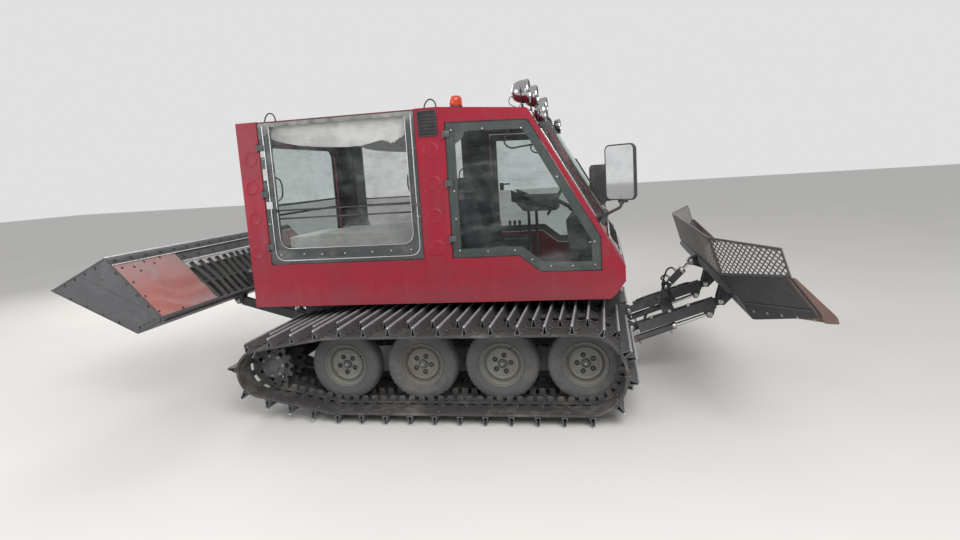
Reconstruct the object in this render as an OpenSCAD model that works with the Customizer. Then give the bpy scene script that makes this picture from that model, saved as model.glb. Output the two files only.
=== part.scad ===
// Tracked snow groomer with a box cab, a front blade and a rear smoothing board
// X runs forward, Y to the vehicle's left, Z up, with the ground at zero

/* [Running gear] */
// Distance between neighbouring road wheels
wheel_pitch = 665; // [650:5:700]
// Number of road wheels on a side
wheel_count = 4; // [4:1:4]
// Radius of a road wheel's tyre
tyre_r = 300; // [280:5:310]
// Width of a road wheel's tyre
tyre_w = 160; // [120:5:180]
// Outer radius of a wheel rim's flange
rim_r = 182; // [160:1:190]
// Distance of the tyres' middle plane from the machine's middle
wheel_y = 1290; // [1270:5:1310]
// Radius of the drive sprocket, to the belts
sprocket_r = 185; // [170:5:200]
// Distance of the sprocket's axle behind the middle of the wheels
sprocket_back = 1630; // [1600:5:1660]
// Height of the sprocket's axle
sprocket_z = 420; // [400:5:440]
// Thickness of a track belt
belt_t = 20; // [14:1:24]
// Height of a track cleat
cleat_h = 80; // [60:1:90]
// Width of a cleat's foot
cleat_w = 48; // [30:1:60]
// Outer end of the long cleats
track_out = 1660; // [1640:5:1700]
// Outer end of the short cleats
track_short = 1440; // [1420:5:1450]
// Inner end of the cleats
track_in = 560; // [540:5:580]
// Number of cleats on one track
cleat_count = 68; // [64:2:72]
// Distance of the first long cleat along the belts, from the top of the sprocket
cleat_start = 165; // [0:5:190]
// Radius of an axle
axle_r = 38; // [30:1:45]

/* [Chassis] */
// Half width of the chassis tub
tub_half = 470; // [440:5:490]
// Height of the tub's belly
tub_bottom = 320; // [300:5:360]
// Thickness of the tub's plates
tub_t = 10; // [8:1:14]
// Rear end of the tub
tub_rear = -1760; // [-1790:5:-1700]
// Front end of the tub
tub_front = 1290; // [1200:5:1310]

/* [Body] */
// Half width of the body
body_half = 1075; // [1050:5:1100]
// Height of the body's lower edge
body_bottom = 860; // [850:5:880]
// Height of the roof
roof_z = 2480; // [2440:5:2550]
// Thickness of walls, roof and doors
wall_t = 40; // [30:1:50]
// Rear face of the body
body_rear = -1925; // [-1960:5:-1900]
// Where the roof starts to fall towards the windscreen
roof_kink = -137; // [-200:1:-100]
// Front end of the roof
roof_front = 601; // [560:1:640]
// Height of the roof's front end
roof_front_z = 2419; // [2380:1:2440]
// Front of the nose
nose_x = 1332; // [1320:1:1350]
// Height of the nose's upper edge
nose_z = 1125; // [1110:1:1140]
// Height of the nose's lower edge
nose_low_z = 1004; // [980:1:1020]
// Front end of the body's lower edge
chin_x = 1209; // [1190:1:1230]
// Gap between a door and its opening
door_gap = 6; // [5:0.5:8]
// Width of a door frame
frame_w = 70; // [40:1:90]
// Thickness of the glazing
glass_t = 6; // [4:1:8]
// Height of the doors' lower edge
sill_z = 1242; // [1220:1:1260]
// Radius of a door hinge's barrel
hinge_r = 9; // [8:1:12]
// Radius of a door hinge's pin
hinge_pin_r = 4; // [3:0.5:5]

/* [Blade] */
// Distance of the blade lift's pivot ahead of the middle of the wheels
lift_x = 1390; // [1380:5:1420]
// Height of the blade lift's pivot
lift_z = 440; // [420:5:470]
// Distance of the blade's pitch pin ahead of the middle of the wheels
pitch_x = 2150; // [2120:5:2160]
// Height of the blade's pitch pin
pitch_z = 690; // [680:5:700]
// Distance of the push beams from the machine's middle
beam_y = 430; // [420:5:450]
// Width and height of a push beam
beam_w = 90; // [70:1:100]
// Half width of the blade's middle section
blade_half = 1250; // [1200:10:1300]
// Length of a blade wing
wing_l = 930; // [850:10:960]
// Angle of a wing against the middle section
wing_a = 17.5; // [15:0.5:22]
// Height taken off the outer end of a wing, above and below
wing_drop = 110; // [60:5:140]
// Thickness of the blade's plates
blade_t = 12; // [10:1:14]
// Thickness of the screen above the blade
screen_t = 5; // [4:1:8]

/* [Rear board] */
// Distance of the board lift's pivot behind the middle of the wheels
arm_back = 1800; // [1790:5:1850]
// Height of the board lift's pivot
arm_z = 560; // [540:5:600]
// Distance of the board's pivot behind the middle of the wheels
board_back = 2560; // [2520:5:2600]
// Height of the board's pivot
board_z = 785; // [780:5:790]
// Distance of the lift arms from the machine's middle
arm_y = 300; // [250:5:350]
// Half width of the board
board_half = 1600; // [1500:10:1700]
// Thickness of the board's plates
board_t = 8; // [6:1:12]

/* [Pins and cylinders] */
// Radius of the pivot pins
pin_r = 20; // [16:1:22]
// Outer radius of the eyes on the pins
eye_r = 34; // [30:1:36]
// Thickness of a lug's plate
lug_t = 20; // [16:1:22]
// Width of the eyes of cylinders and top link
eye_w = 36; // [30:1:38]
// Radius of a blade lift cylinder's barrel
lift_barrel_r = 30; // [26:1:32]
// Radius of a blade lift cylinder's rod
lift_rod_r = 17; // [14:1:17]
// Radius of the pitch cylinder's barrel
pitch_barrel_r = 34; // [28:1:36]
// Radius of the pitch cylinder's rod
pitch_rod_r = 17; // [14:1:17]
// Radius of a board lift cylinder's barrel
board_barrel_r = 32; // [28:1:36]
// Radius of a board lift cylinder's rod
board_rod_r = 16; // [14:1:17]
// Distance of the board lift cylinders from the machine's middle
board_cyl_y = 150; // [120:5:180]

/* [Hidden] */
$fn = 48;

// Clearance between faces that lie side by side
touch = 0.3;
// Clearance of a bore round its pin, and of a barrel round its rod
pin_gap = 0.05;
rod_gap = 0.5;
// Side clearance of an eye between its lugs
lug_gap = 1;
// Flat facets of a half circle of the belts' inside, and of a tyre
arc_steps = 10;
tyre_sides = 28;

// Shapes used everywhere

// An outline in X and Z, drawn out along Y from y0 to y1
module along_y(y0, y1) translate([0, y1, 0]) rotate([90, 0, 0]) linear_extrude(y1 - y0) children();
// A box between two corners
module block(x, y, z) translate([x[0], y[0], z[0]]) cube([x[1] - x[0], y[1] - y[0], z[1] - z[0]]);
// A round bar along Y
module bar_y(x, z, r, y0, y1) translate([x, y1, z]) rotate([90, 0, 0]) cylinder(r = r, h = y1 - y0);
// A round bar between two points
module rod_between(p, q, r) {
    v = q - p;
    translate(p) rotate([0, acos(v[2] / norm(v)), atan2(v[1], v[0])]) cylinder(r = r, h = norm(v));
}
// Two lugs of the given outline round y, a gap apart, with a pin through them at p
module fork(y, gap, p, outline) {
    for (o = [-gap / 2 - lug_t, gap / 2])
        along_y(y + o, y + o + lug_t) polygon(outline);
    bar_y(p[0], p[1], pin_r, y - gap / 2 - lug_t - 8, y + gap / 2 + lug_t + 8);
}
// Turns Z to point from p to q in X and Z
module toward(p, q) translate([p[0], 0, p[1]]) rotate([0, atan2(q[0] - p[0], q[1] - p[1]), 0]) children();
// A cylinder's barrel of length l from its pin at p towards q, hollow for the rod
module barrel(p, q, r, l, rod_r) {
    neck = eye_r + 16;
    difference() {
        union() {
            bar_y(p[0], p[1], eye_r, -eye_w / 2, eye_w / 2);
            toward(p, q) translate([-r + 4, -eye_w / 2 + 1, 0]) cube([2 * r - 8, eye_w - 2, neck + 2]);
            toward(p, q) translate([0, 0, neck]) cylinder(r = r, h = l - neck);
        }
        bar_y(p[0], p[1], pin_r + pin_gap, -eye_w, eye_w);
        toward(p, q) translate([0, 0, neck + 10]) cylinder(r = rod_r + rod_gap, h = l);
    }
}
// Its rod, from distance start to the eye at q, whose bore is wider than the pin by play
module rod(p, q, r, start, play) {
    difference() {
        union() {
            toward(p, q) translate([0, 0, start]) cylinder(r = r, h = norm(q - p) - start);
            bar_y(q[0], q[1], eye_r, -eye_w / 2, eye_w / 2);
        }
        bar_y(q[0], q[1], pin_r + play, -eye_w, eye_w);
    }
}
// The same on both sides of the machine
module both_sides() {
    children();
    mirror([0, 1, 0]) children();
}
// A flat bar of height w between two points of X and Z, grown by e at both ends
function bar_outline(p, q, w, e = 0) =
    let (u = (q - p) / norm(q - p), n = [-u[1], u[0]] * w / 2)
    [p - u * e + n, q + u * e + n, q + u * e - n, p - u * e - n];

function unit(v) = v / norm(v);
// The right-hand normal, which points into an outline that runs clockwise
function inward(v) = [v[1], -v[0]];
// A corner of an outline moved in by d from both its edges
function inset_corner(a, b, c, d) =
    let (n = inward(unit(b - a)), m = inward(unit(c - b))) b + (n + m) * d / (1 + n * m);
function inset(p, d) =
    [for (i = [0:len(p) - 1])
        inset_corner(p[(i + len(p) - 1) % len(p)], p[i], p[(i + 1) % len(p)], d)];
// Flat sides of a rounded corner
corner_steps = 6;
// Points of an arc in X and Z, from angle a to angle b
function arc(c, r, a, b, n) = [for (i = [0:n]) c + r * [cos(a + (b - a) * i / n), sin(a + (b - a) * i / n)]];

// Places that follow from the sizes

ground_belt = cleat_h + belt_t;
wheel_z = ground_belt + tyre_r;
wheel_last = wheel_pitch * (wheel_count - 1) / 2;
wheel_xs = [for (i = [0:wheel_count - 1]) i * wheel_pitch - wheel_last];
run_top = wheel_z + tyre_r;
sprocket_x = -sprocket_back;

// Blade profile, from the top down: screen top, screen foot, fold and cutting edge
blade_top = [1935, 1350];
blade_mid = [2020, 1060];
blade_fold = [2180, 850];
blade_edge = [2255, 717];
blade_lean = atan2(blade_top[0] - blade_edge[0], blade_top[1] - blade_edge[1]);

// Board section, clockwise from the top: top rail, front foot, rear foot and tail
board_top = [-2957, 1423];
board_front = [-2462, 879];
board_foot = [-2740, 762];
board_tail = [-3539, 1156];

// The machine stands with the middle of its length at the origin
fold_d = (blade_fold - blade_edge) / ((blade_fold - blade_edge) * [sin(blade_lean), cos(blade_lean)]);
front_end = blade_edge[0] + wing_drop * sin(blade_lean) + cos(blade_lean)
    * (wing_l * sin(wing_a) + wing_drop * (fold_d * [cos(blade_lean), -sin(blade_lean)]) * cos(wing_a));
mid_x = (front_end + board_tail[0]) / 2;
module place() translate([-mid_x, 0, 0]) children();

// Track

// Angles of the tangents over and under sprocket and first wheel
first_x = wheel_xs[0];
last_x = wheel_xs[wheel_count - 1];
to_wheel = [first_x - sprocket_x, wheel_z - sprocket_z];
spread_a = asin((tyre_r - sprocket_r) / norm(to_wheel));
over_a = atan2(to_wheel[1], to_wheel[0]) + spread_a;
under_a = atan2(to_wheel[1], to_wheel[0]) - spread_a;
// Points of n flat sides laid round an arc, the first and last tangent to its ends
function round_arc(c, r, a, b, n) =
    let (step = (b - a) / n) [for (i = [0:n - 1])
        c + r / cos(step / 2) * [cos(a + (i + 0.5) * step), sin(a + (i + 0.5) * step)]];
// The belts' inside, which clears the tyres and the sprocket
belt_inside = concat(
    round_arc([last_x, wheel_z], tyre_r + touch, 90, -90, arc_steps),
    round_arc([first_x, wheel_z], tyre_r + touch, -90, under_a - 90, 1),
    round_arc([sprocket_x, sprocket_z], sprocket_r + touch, under_a - 90, over_a - 270, arc_steps),
    round_arc([first_x, wheel_z], tyre_r + touch, over_a + 90, 90, 1));
// Lengths of the stretches along the belts' middle, from the top of the sprocket forward
function arc_l(r, a) = PI / 180 * (r + belt_t / 2) * a;
slope_l = sqrt(pow(norm(to_wheel), 2) - pow(tyre_r - sprocket_r, 2));
flat_l = last_x - first_x;
stretches = [slope_l, arc_l(tyre_r, over_a), flat_l, arc_l(tyre_r, 180), flat_l,
    arc_l(tyre_r, -under_a), slope_l, arc_l(sprocket_r, 180 + under_a - over_a)];
// Where each stretch begins, and the whole length at the end
function sum_to(v, n) = n == 0 ? 0 : v[n - 1] + sum_to(v, n - 1);
starts = [for (i = [0:len(stretches)]) sum_to(stretches, i)];
track_l = starts[len(stretches)];
function turned(c, r, a) = [c[0] + r * cos(a), c[1] + r * sin(a), a];
function along(p, a, s) = [p[0] + s * cos(a), p[1] + s * sin(a), p[2]];
// Place and outward angle on the belts' outside at share t of stretch k
function stretch_at(k, t) =
    k == 0 ? along(turned([sprocket_x, sprocket_z], sprocket_r + belt_t, over_a + 90), over_a, t * slope_l) :
    k == 1 ? turned([first_x, wheel_z], tyre_r + belt_t, 90 + over_a * (1 - t)) :
    k == 2 ? [first_x + t * flat_l, run_top + belt_t, 90] :
    k == 3 ? turned([last_x, wheel_z], tyre_r + belt_t, 90 - 180 * t) :
    k == 4 ? [last_x - t * flat_l, cleat_h, -90] :
    k == 5 ? turned([first_x, wheel_z], tyre_r + belt_t, -90 + under_a * t) :
    k == 6 ? along(turned([first_x, wheel_z], tyre_r + belt_t, under_a - 90), under_a, -t * slope_l) :
    turned([sprocket_x, sprocket_z], sprocket_r + belt_t, under_a - 90 - (180 + under_a - over_a) * t);
function stretch_of(s, k = 0) = s < starts[k + 1] || k == len(stretches) - 1 ? k : stretch_of(s, k + 1);
function track_at(s) = let (k = stretch_of(s)) stretch_at(k, (s - starts[k]) / stretches[k]);

// The track's outline with every step-th cleat on it; the others leave the belt bare
cleat_tip = 12;
cleat_points = [[-cleat_w / 2, 0], [-cleat_tip / 2, cleat_h], [cleat_tip / 2, cleat_h], [cleat_w / 2, 0]];
function shoe_points(k, bare) =
    let (p = track_at((cleat_start + k * track_l / cleat_count) % track_l), out = [cos(p[2]), sin(p[2])],
        on = [sin(p[2]), -cos(p[2])])
    [for (c = bare ? [cleat_points[0], cleat_points[3]] : cleat_points)
        [p[0], p[1]] + c[0] * on + c[1] * out];
function track_outside(step) =
    [for (k = [0:cleat_count - 1]) each shoe_points(k, k % step != 0)];

// One closed loop: all cleats to the end of the short ones, then the long ones alone
module track() {
    color("dimgray") difference() {
        union() {
            along_y(-track_short, -track_in) polygon(track_outside(1));
            along_y(-track_out, -track_short) polygon(track_outside(2));
        }
        along_y(-track_out - 1, -track_in + 1) polygon(belt_inside);
    }
}
module track_right() track();
module track_left() mirror([0, 1, 0]) track();

// Wheels: tyre with flat shoulders, rim with a dished disc and a hub
shoulder = 24;
disc_t = 12;
hub_r = 42;
hub_l = 60;

bead_in = 10;
bead_r = (rim_r + touch) / cos(180 / tyre_sides);
tyre_profile = [[bead_r, bead_in], [bead_r, tyre_w - bead_in], [tyre_r - shoulder, tyre_w],
    [tyre_r - touch, tyre_w - shoulder], [tyre_r - touch, shoulder], [tyre_r - shoulder, 0]];
function on_ring(p, a) = [p[0] * cos(a), p[0] * sin(a), p[1] - tyre_w / 2];
module tyre() {
    k = len(tyre_profile);
    rotate([90, 0, 0]) polyhedron(
        [for (i = [0:tyre_sides - 1]) for (p = tyre_profile) on_ring(p, i * 360 / tyre_sides)],
        [for (i = [0:tyre_sides - 1]) for (j = [0:k - 1])
            let (next = (i + 1) % tyre_sides, up = (j + 1) % k)
            [i * k + j, i * k + up, next * k + up, next * k + j]]);
}
module tyres() color("black") both_sides() for (x = wheel_xs) translate([x, -wheel_y, wheel_z]) tyre();

rim_t = 8;
disc_in = 40;
module rim() {
    half = tyre_w / 2 - bead_in;
    rotate([90, 0, 0]) rotate_extrude()
        polygon([[0, half - disc_in - disc_t], [rim_r - 40, half - disc_in - disc_t], [rim_r - 30, -half],
            [rim_r, -half], [rim_r, half], [rim_r - rim_t, half], [rim_r - 40, half - disc_in + 5],
            [hub_r, half - disc_in], [hub_r, half - disc_in + 30], [0, half - disc_in + 30]]);
}
module rims() color("darkkhaki") both_sides() for (x = wheel_xs) translate([x, -wheel_y, wheel_z]) rim();

// Stub axles from the tub to the wheels
rim_back = wheel_y + tyre_w / 2 - bead_in - disc_in - disc_t;
flange_r = 75;
flange_t = 14;
module axles() {
    color("gray") both_sides() for (x = wheel_xs) {
        bar_y(x, wheel_z, axle_r, -rim_back + touch, -tub_half - touch);
        bar_y(x, wheel_z, flange_r, -tub_half - touch - flange_t, -tub_half - touch);
    }
}

// Drive sprocket: a drum with two toothed rings
tooth_count = 14;
ring_t = 14;
sprocket_ys = [-1410, -1170];
tooth_h = 30;
drum_r = 120;
// How far the drum runs past the inner ring, and past the outer one
drum_end = 2;
drum_out = 30;
// Shares of the tooth pitch taken by the foot and by the tip
tooth_foot = 0.3;
tooth_tip = 0.16;
module sprocket() {
    root_r = sprocket_r - tooth_h;
    step = 360 / tooth_count;
    tip_r = sprocket_r - touch;
    tooth = [[root_r, -tooth_foot], [tip_r, -tooth_tip], [tip_r, tooth_tip], [root_r, tooth_foot]];
    outline = [for (i = [0:tooth_count - 1]) for (c = tooth)
        c[0] * [cos((i + c[1]) * step), sin((i + c[1]) * step)]];
    translate([sprocket_x, 0, sprocket_z]) {
        for (y = sprocket_ys) along_y(y, y + ring_t) polygon(outline);
        bar_y(0, 0, drum_r, sprocket_ys[0] - drum_out, sprocket_ys[1] + ring_t + drum_end);
    }
}
module sprockets() color("dimgray") both_sides() sprocket();

// Final drives: a housing with a flange on the tub's side
drive_r = 84;
drive_flange_r = 98;
drive_flange_t = 60;
module final_drives() {
    color("gray") both_sides() {
        bar_y(sprocket_x, sprocket_z, drive_r, sprocket_ys[1] + ring_t + drum_end + touch, -tub_half - touch);
        bar_y(sprocket_x, sprocket_z, drive_flange_r, -tub_half - drive_flange_t, -tub_half - touch);
    }
}

// Chassis

floor_z = body_bottom;
// Tow plate: hole radius, thickness, length, half width, height of its underside, distance of the hole
tow_r = 16;
tow_t = 30;
tow_l = 140;
tow_half = 60;
tow_z = tub_bottom + 20;
tow_x = 90;
module chassis_tub() {
    color("dimgray") {
        difference() {
            block([tub_rear, tub_front], [-tub_half, tub_half], [tub_bottom, floor_z - touch]);
            block([tub_rear + tub_t, tub_front - tub_t], [-tub_half + tub_t, tub_half - tub_t],
                [tub_bottom + tub_t, floor_z]);
        }
        // Front lugs of the push frame and of the blade lift cylinders
        both_sides() {
            fork(-rear_eye_y, rear_eye_w + 2 * lug_gap, lift_p,
                [[tub_front - 5, lift_z + 80], lift_p + [10, 45], lift_p + [42, 0], lift_p + [10, -45],
                    [tub_front - 5, lift_z - 80]]);
            fork(-beam_y, eye_w + 2 * lug_gap, lift_q,
                [[tub_front - 5, lift_q[1] + 55], lift_q + [6, 36], lift_q + [36, 0], lift_q + [6, -36],
                    [tub_front - 5, lift_q[1] - 8]]);
            // Rear lugs of the lift arms
            fork(-arm_y, arm_w + 2 * lug_gap, arm_p,
                [[tub_rear + 5, arm_z + 70], arm_p + [-14, 42], arm_p + [-44, 0], arm_p + [-14, -42],
                    [tub_rear + 5, arm_z - 70]]);
            fork(-board_cyl_y, eye_w + 2 * lug_gap, board_q,
                [[tub_rear + 5, board_q[1] + 50], board_q + [-10, 36], board_q + [-38, 0],
                    board_q + [-10, -36], [tub_rear + 5, board_q[1] - 50]]);
        }
        fork(0, eye_w + 2 * lug_gap, link_p,
            [[tub_rear + 5, link_p[1] + 55], link_p + [-10, 36], link_p + [-38, 0], link_p + [-10, -36],
                [tub_rear + 5, link_p[1] - 55]]);
        // Rear tow plate with its upright hole
        difference() {
            block([tub_rear - tow_l, tub_rear + 5], [-tow_half, tow_half], [tow_z, tow_z + tow_t]);
            translate([tub_rear - tow_x, 0, tow_z - 1]) cylinder(r = tow_r, h = tow_t + 2);
        }
    }
}

// Engine block: ends ahead of the tub's rear, half width and top
engine_x = [tub_rear + 310, tub_rear + 1110];
engine_half = tub_half - 140;
engine_top = body_bottom + 290;
module engine_block()
    color("gray") block(engine_x, [-engine_half, engine_half], [tub_bottom + tub_t + touch, engine_top]);

// Body

side_outline = [[body_rear, body_bottom], [body_rear, roof_z], [roof_kink, roof_z],
    [roof_front, roof_front_z], [nose_x, nose_z], [nose_x, nose_low_z],
    [chin_x + 50, body_bottom + 45], [chin_x, body_bottom]];
// Outlines of the two doors on a side, clockwise from the lower rear corner
rear_door = [[-1724, sill_z], [-1724, roof_z - 12], [-326, roof_z - 12], [-326, sill_z]];
cab_door = [[-72, sill_z], [-68, 2347], [604, 2326], [1141, 1366], [1143, 1100], [656, 1104], [486, sill_z]];
// What is seen through a rear door's frame, and the radius of its lower corners
rear_sight = [[-1618, 1377], [-1618, 2430], [-402, 2430], [-402, 1377]];
sight_r = 90;

module side_wall() {
    color("crimson") difference() {
        along_y(-body_half, -body_half + wall_t) polygon(side_outline);
        along_y(-body_half - 1, -body_half + wall_t + 1) {
            polygon([for (p = inset(rear_door, -door_gap)) [p[0], p[1] > 2000 ? roof_z + 50 : p[1]]]);
            polygon(inset(cab_door, -door_gap));
        }
    }
    hinge_posts(rear_door[0][0]);
    hinge_posts(cab_door[0][0]);
}
module side_wall_right() side_wall();
module side_wall_left() mirror([0, 1, 0]) side_wall();

// Door hinges: a pin between two ears on the wall, a barrel on the door
hinge_zs = [1400, 1860, 2260];
hinge_h = 50;
hinge_y = -body_half - hinge_r - 4;
ear_h = 12;
leaf_l = 40;
hinge_gap = 0.08;
function hinge_x(x) = x - 14;
module hinge_posts(x) {
    color("crimson") for (z = hinge_zs) {
        translate([hinge_x(x), hinge_y, z - hinge_h / 2 - ear_h])
            cylinder(r = hinge_pin_r, h = hinge_h + 2 * ear_h);
        for (e = [-hinge_h / 2 - ear_h - touch, hinge_h / 2 + touch]) {
            translate([hinge_x(x), hinge_y, z + e]) cylinder(r = hinge_r, h = ear_h);
            block([hinge_x(x) - 30, hinge_x(x)], [hinge_y + 3, -body_half + 2], [z + e, z + e + ear_h]);
        }
    }
}
module hinge_barrels(x) {
    color("black") for (z = hinge_zs) difference() {
        union() {
            translate([hinge_x(x), hinge_y, z - hinge_h / 2]) cylinder(r = hinge_r, h = hinge_h);
            block([hinge_x(x), x + leaf_l], [hinge_y + 1, hinge_y + hinge_r],
                [z - hinge_h / 2, z + hinge_h / 2]);
            block([x + 2, x + leaf_l], [hinge_y + 1, -body_half + glass_t + 2],
                [z - hinge_h / 2, z + hinge_h / 2]);
        }
        translate([hinge_x(x), hinge_y, z - hinge_h]) cylinder(r = hinge_pin_r + hinge_gap, h = 2 * hinge_h);
    }
}

// The doors' inner faces stay clear of the roof's edges
door_in = -body_half + wall_t - door_gap;
// A rear door: black frame behind a full pane, with rounded lower corners inside
module rear_door_frame() {
    color("black") along_y(-body_half + glass_t + touch, door_in) difference() {
        polygon(rear_door);
        polygon(concat([rear_sight[1], rear_sight[2]],
            arc(rear_sight[3] + [-sight_r, sight_r], sight_r, 0, -90, corner_steps),
            arc(rear_sight[0] + [sight_r, sight_r], sight_r, -90, -180, corner_steps)));
    }
    hinge_barrels(rear_door[0][0]);
}
module cab_door_frame() {
    color("black") along_y(-body_half + glass_t + touch, door_in) difference() {
        polygon(cab_door);
        polygon(inset(cab_door, frame_w));
    }
    hinge_barrels(cab_door[0][0]);
}
// A pane, cut back round the hinge barrels' leaves
module pane(outline) {
    color("lightblue") difference() {
        along_y(-body_half, -body_half + glass_t) polygon(outline);
        for (z = hinge_zs)
            block([outline[0][0] - 50, outline[0][0] + leaf_l + 1], [-body_half - 50, -body_half + 50],
                [z - hinge_h / 2 - 1, z + hinge_h / 2 + 1]);
    }
}
module cab_door_right() cab_door_frame();
module cab_door_left() mirror([0, 1, 0]) cab_door_frame();
module rear_door_right() rear_door_frame();
module rear_door_left() mirror([0, 1, 0]) rear_door_frame();
module cab_glass_right() pane(cab_door);
module cab_glass_left() mirror([0, 1, 0]) pane(cab_door);
module rear_glass_right() pane(rear_door);
module rear_glass_left() mirror([0, 1, 0]) pane(rear_door);

in_half = body_half - wall_t;
rear_pane_z = [1320, 2300];
rear_pane_half = 900;
rear_pane_r = 110;
rear_pane_in = 10;
// The rear window's rounded outline, drawn out along X from x0 to x1
module rear_opening(x0, x1) {
    low = rear_pane_z[0] + rear_pane_r;
    top = rear_pane_z[1] - rear_pane_r;
    side = rear_pane_half - rear_pane_r;
    translate([x0, 0, 0]) rotate([90, 0, 90]) linear_extrude(x1 - x0) polygon(concat(
        arc([side, low], rear_pane_r, -90, 0, corner_steps),
        arc([side, top], rear_pane_r, 0, 90, corner_steps),
        arc([-side, top], rear_pane_r, 90, 180, corner_steps),
        arc([-side, low], rear_pane_r, 180, 270, corner_steps)));
}
module rear_wall() {
    color("crimson") difference() {
        block([body_rear, body_rear + wall_t], [-in_half, in_half], [body_bottom + wall_t, roof_z - wall_t]);
        rear_opening(body_rear - 1, body_rear + wall_t + 1);
    }
}
module rear_pane()
    color("lightblue") rear_opening(body_rear + rear_pane_in, body_rear + rear_pane_in + glass_t);
// Angle of the front against the upright
front_a = atan2(nose_x - roof_front, roof_front_z - nose_z);
front_l2 = norm([nose_x - roof_front, roof_front_z - nose_z]);
roof_in = inset(side_outline, wall_t);
module roof() {
    color("crimson") along_y(-in_half, in_half)
        polygon([side_outline[1], side_outline[2], side_outline[3], roof_in[3], roof_in[2],
            [body_rear, roof_z - wall_t]]);
}
pane_s = [95, 1090];
pane_half = 900;
module front_frame() translate([roof_front, 0, roof_front_z]) rotate([0, -front_a, 0]) children();
module front_panel() {
    color("crimson") difference() {
        along_y(-in_half, in_half)
            polygon([side_outline[3], side_outline[4], side_outline[5], side_outline[6], side_outline[7],
                roof_in[7], roof_in[6], roof_in[5], roof_in[4], roof_in[3]]);
        front_frame() block([-wall_t - 20, 50], [-pane_half, pane_half], [-pane_s[1], -pane_s[0]]);
    }
}
module cab_floor() {
    color("gray") difference() {
        block([body_rear + wall_t + touch, chin_x - 60], [-in_half + touch, in_half - touch],
            [body_bottom, body_bottom + wall_t]);
        // Opening over the engine, under its cover
        edge = cover_t + 10;
        block([cover_x[0] + edge, cover_x[1] - edge], [-cover_half + edge, cover_half - edge],
            [body_bottom - 1, body_bottom + wall_t + 1]);
    }
}

// Bowed windscreen, which laps over the edges of its opening
bow = 65;
glass_lap = 30;
screen_half = pane_half + glass_lap;
screen_s = [pane_s[0] - glass_lap, pane_s[1] + glass_lap];
bow_r = (pow(screen_half, 2) + pow(bow, 2)) / (2 * bow);
bow_a = asin(screen_half / bow_r);
bow_steps = 12;
function bow_arc(r) = arc([bow - bow_r + touch, 0], r, -bow_a, bow_a, bow_steps);
module windscreen() {
    color("lightblue") front_frame() translate([0, 0, -screen_s[1]]) linear_extrude(screen_s[1] - screen_s[0])
        polygon(concat(bow_arc(bow_r + glass_t), [for (i = [bow_steps:-1:0]) bow_arc(bow_r)[i]]));
}
module fixed_glass() {
    windscreen();
    rear_pane();
}
// Caps above and below, between the panel and the glass
cap_t = 24;
cap_in = 2;
module windscreen_frame() {
    color("black") front_frame() for (s = [-pane_s[1] - cap_in - cap_t, -pane_s[0] + cap_in])
        translate([0, 0, s]) linear_extrude(cap_t)
            polygon([for (p = bow_arc(bow_r - touch)) [max(p[0], touch), p[1]]]);
}

// Inside

cover_x = [-1560, -420];
cover_half = 420;
cover_t = 20;
cover_top = 1440;
module engine_cover() {
    color("silver") difference() {
        block(cover_x, [-cover_half, cover_half], [body_bottom + wall_t + touch, cover_top]);
        block([cover_x[0] + cover_t, cover_x[1] - cover_t], [-cover_half + cover_t, cover_half - cover_t],
            [body_bottom, cover_top - cover_t]);
    }
}
// Seats: place, half widths of base, cushion and back, and heights
seat_y = body_half - 555;
seat_x = [roof_kink + 77, roof_kink + 557];
base_half = 230;
cushion_half = 240;
back_half = 235;
cushion_z = [body_bottom + 260, body_bottom + 390];
back_l = 670;
module seats() {
    color("dimgray") for (y = [-seat_y, seat_y]) {
        block(seat_x, [y - base_half, y + base_half], [body_bottom + wall_t + touch, cushion_z[0]]);
        block(seat_x, [y - cushion_half, y + cushion_half], cushion_z);
        along_y(y - back_half, y + back_half) translate([seat_x[0], cushion_z[1]])
            polygon([[20, -10], [-90, back_l - 20], [0, back_l], [140, -10]]);
    }
}
// Dashboard: half widths of the deck and its console; steering column's ends and radius
deck_half = 850;
console_half = 300;
column_foot = [900, seat_y, 1480];
steer_at = [700, seat_y, 1600];
column_r = 18;
// Tilt, radius, rim width and thickness of the steering wheel
steer_a = -59;
steer_r = 190;
steer_rim = 25;
steer_t = 24;
module dashboard() {
    low = body_bottom + wall_t + touch;
    color("dimgray") {
        along_y(-deck_half, deck_half)
            polygon([[880, 1250], [860, 1500], [1030, 1540], [1080, 1440], [1120, 1200]]);
        along_y(-console_half, console_half) polygon([[860, low], [880, 1300], [1060, 1300], [1060, low]]);
        rod_between(column_foot, steer_at, column_r);
        translate(steer_at) rotate([0, steer_a, 0]) {
            difference() {
                cylinder(r = steer_r, h = steer_t);
                translate([0, 0, -1]) cylinder(r = steer_r - steer_rim, h = steer_t + 2);
            }
            block([-steer_r + steer_rim / 2, steer_r - steer_rim / 2], [-16, 16], [0, 14]);
        }
    }
}

// Mirrors: side, X and Z of the middle, turn about the upright, foot on the front pillar
mirrors_at = [[-1, nose_x - 22, nose_z + 743, -45], [1, nose_x - 172, nose_z + 605, -62]];
mirror_w = 285;
mirror_h = 420;
mirror_y = body_half + 155;
mirror_rod_r = 12;
// The mirrors' feet on the front pillars: distance down the slope, from the middle and outwards
mirror_foot_s = 1060;
mirror_foot_y = body_half - 90;
mirror_foot_out = 24;
// Depth of a mirror's case ahead of and behind its middle plane, and width of its edge
mirror_case = [-18, 30];
mirror_edge = 10;
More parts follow.
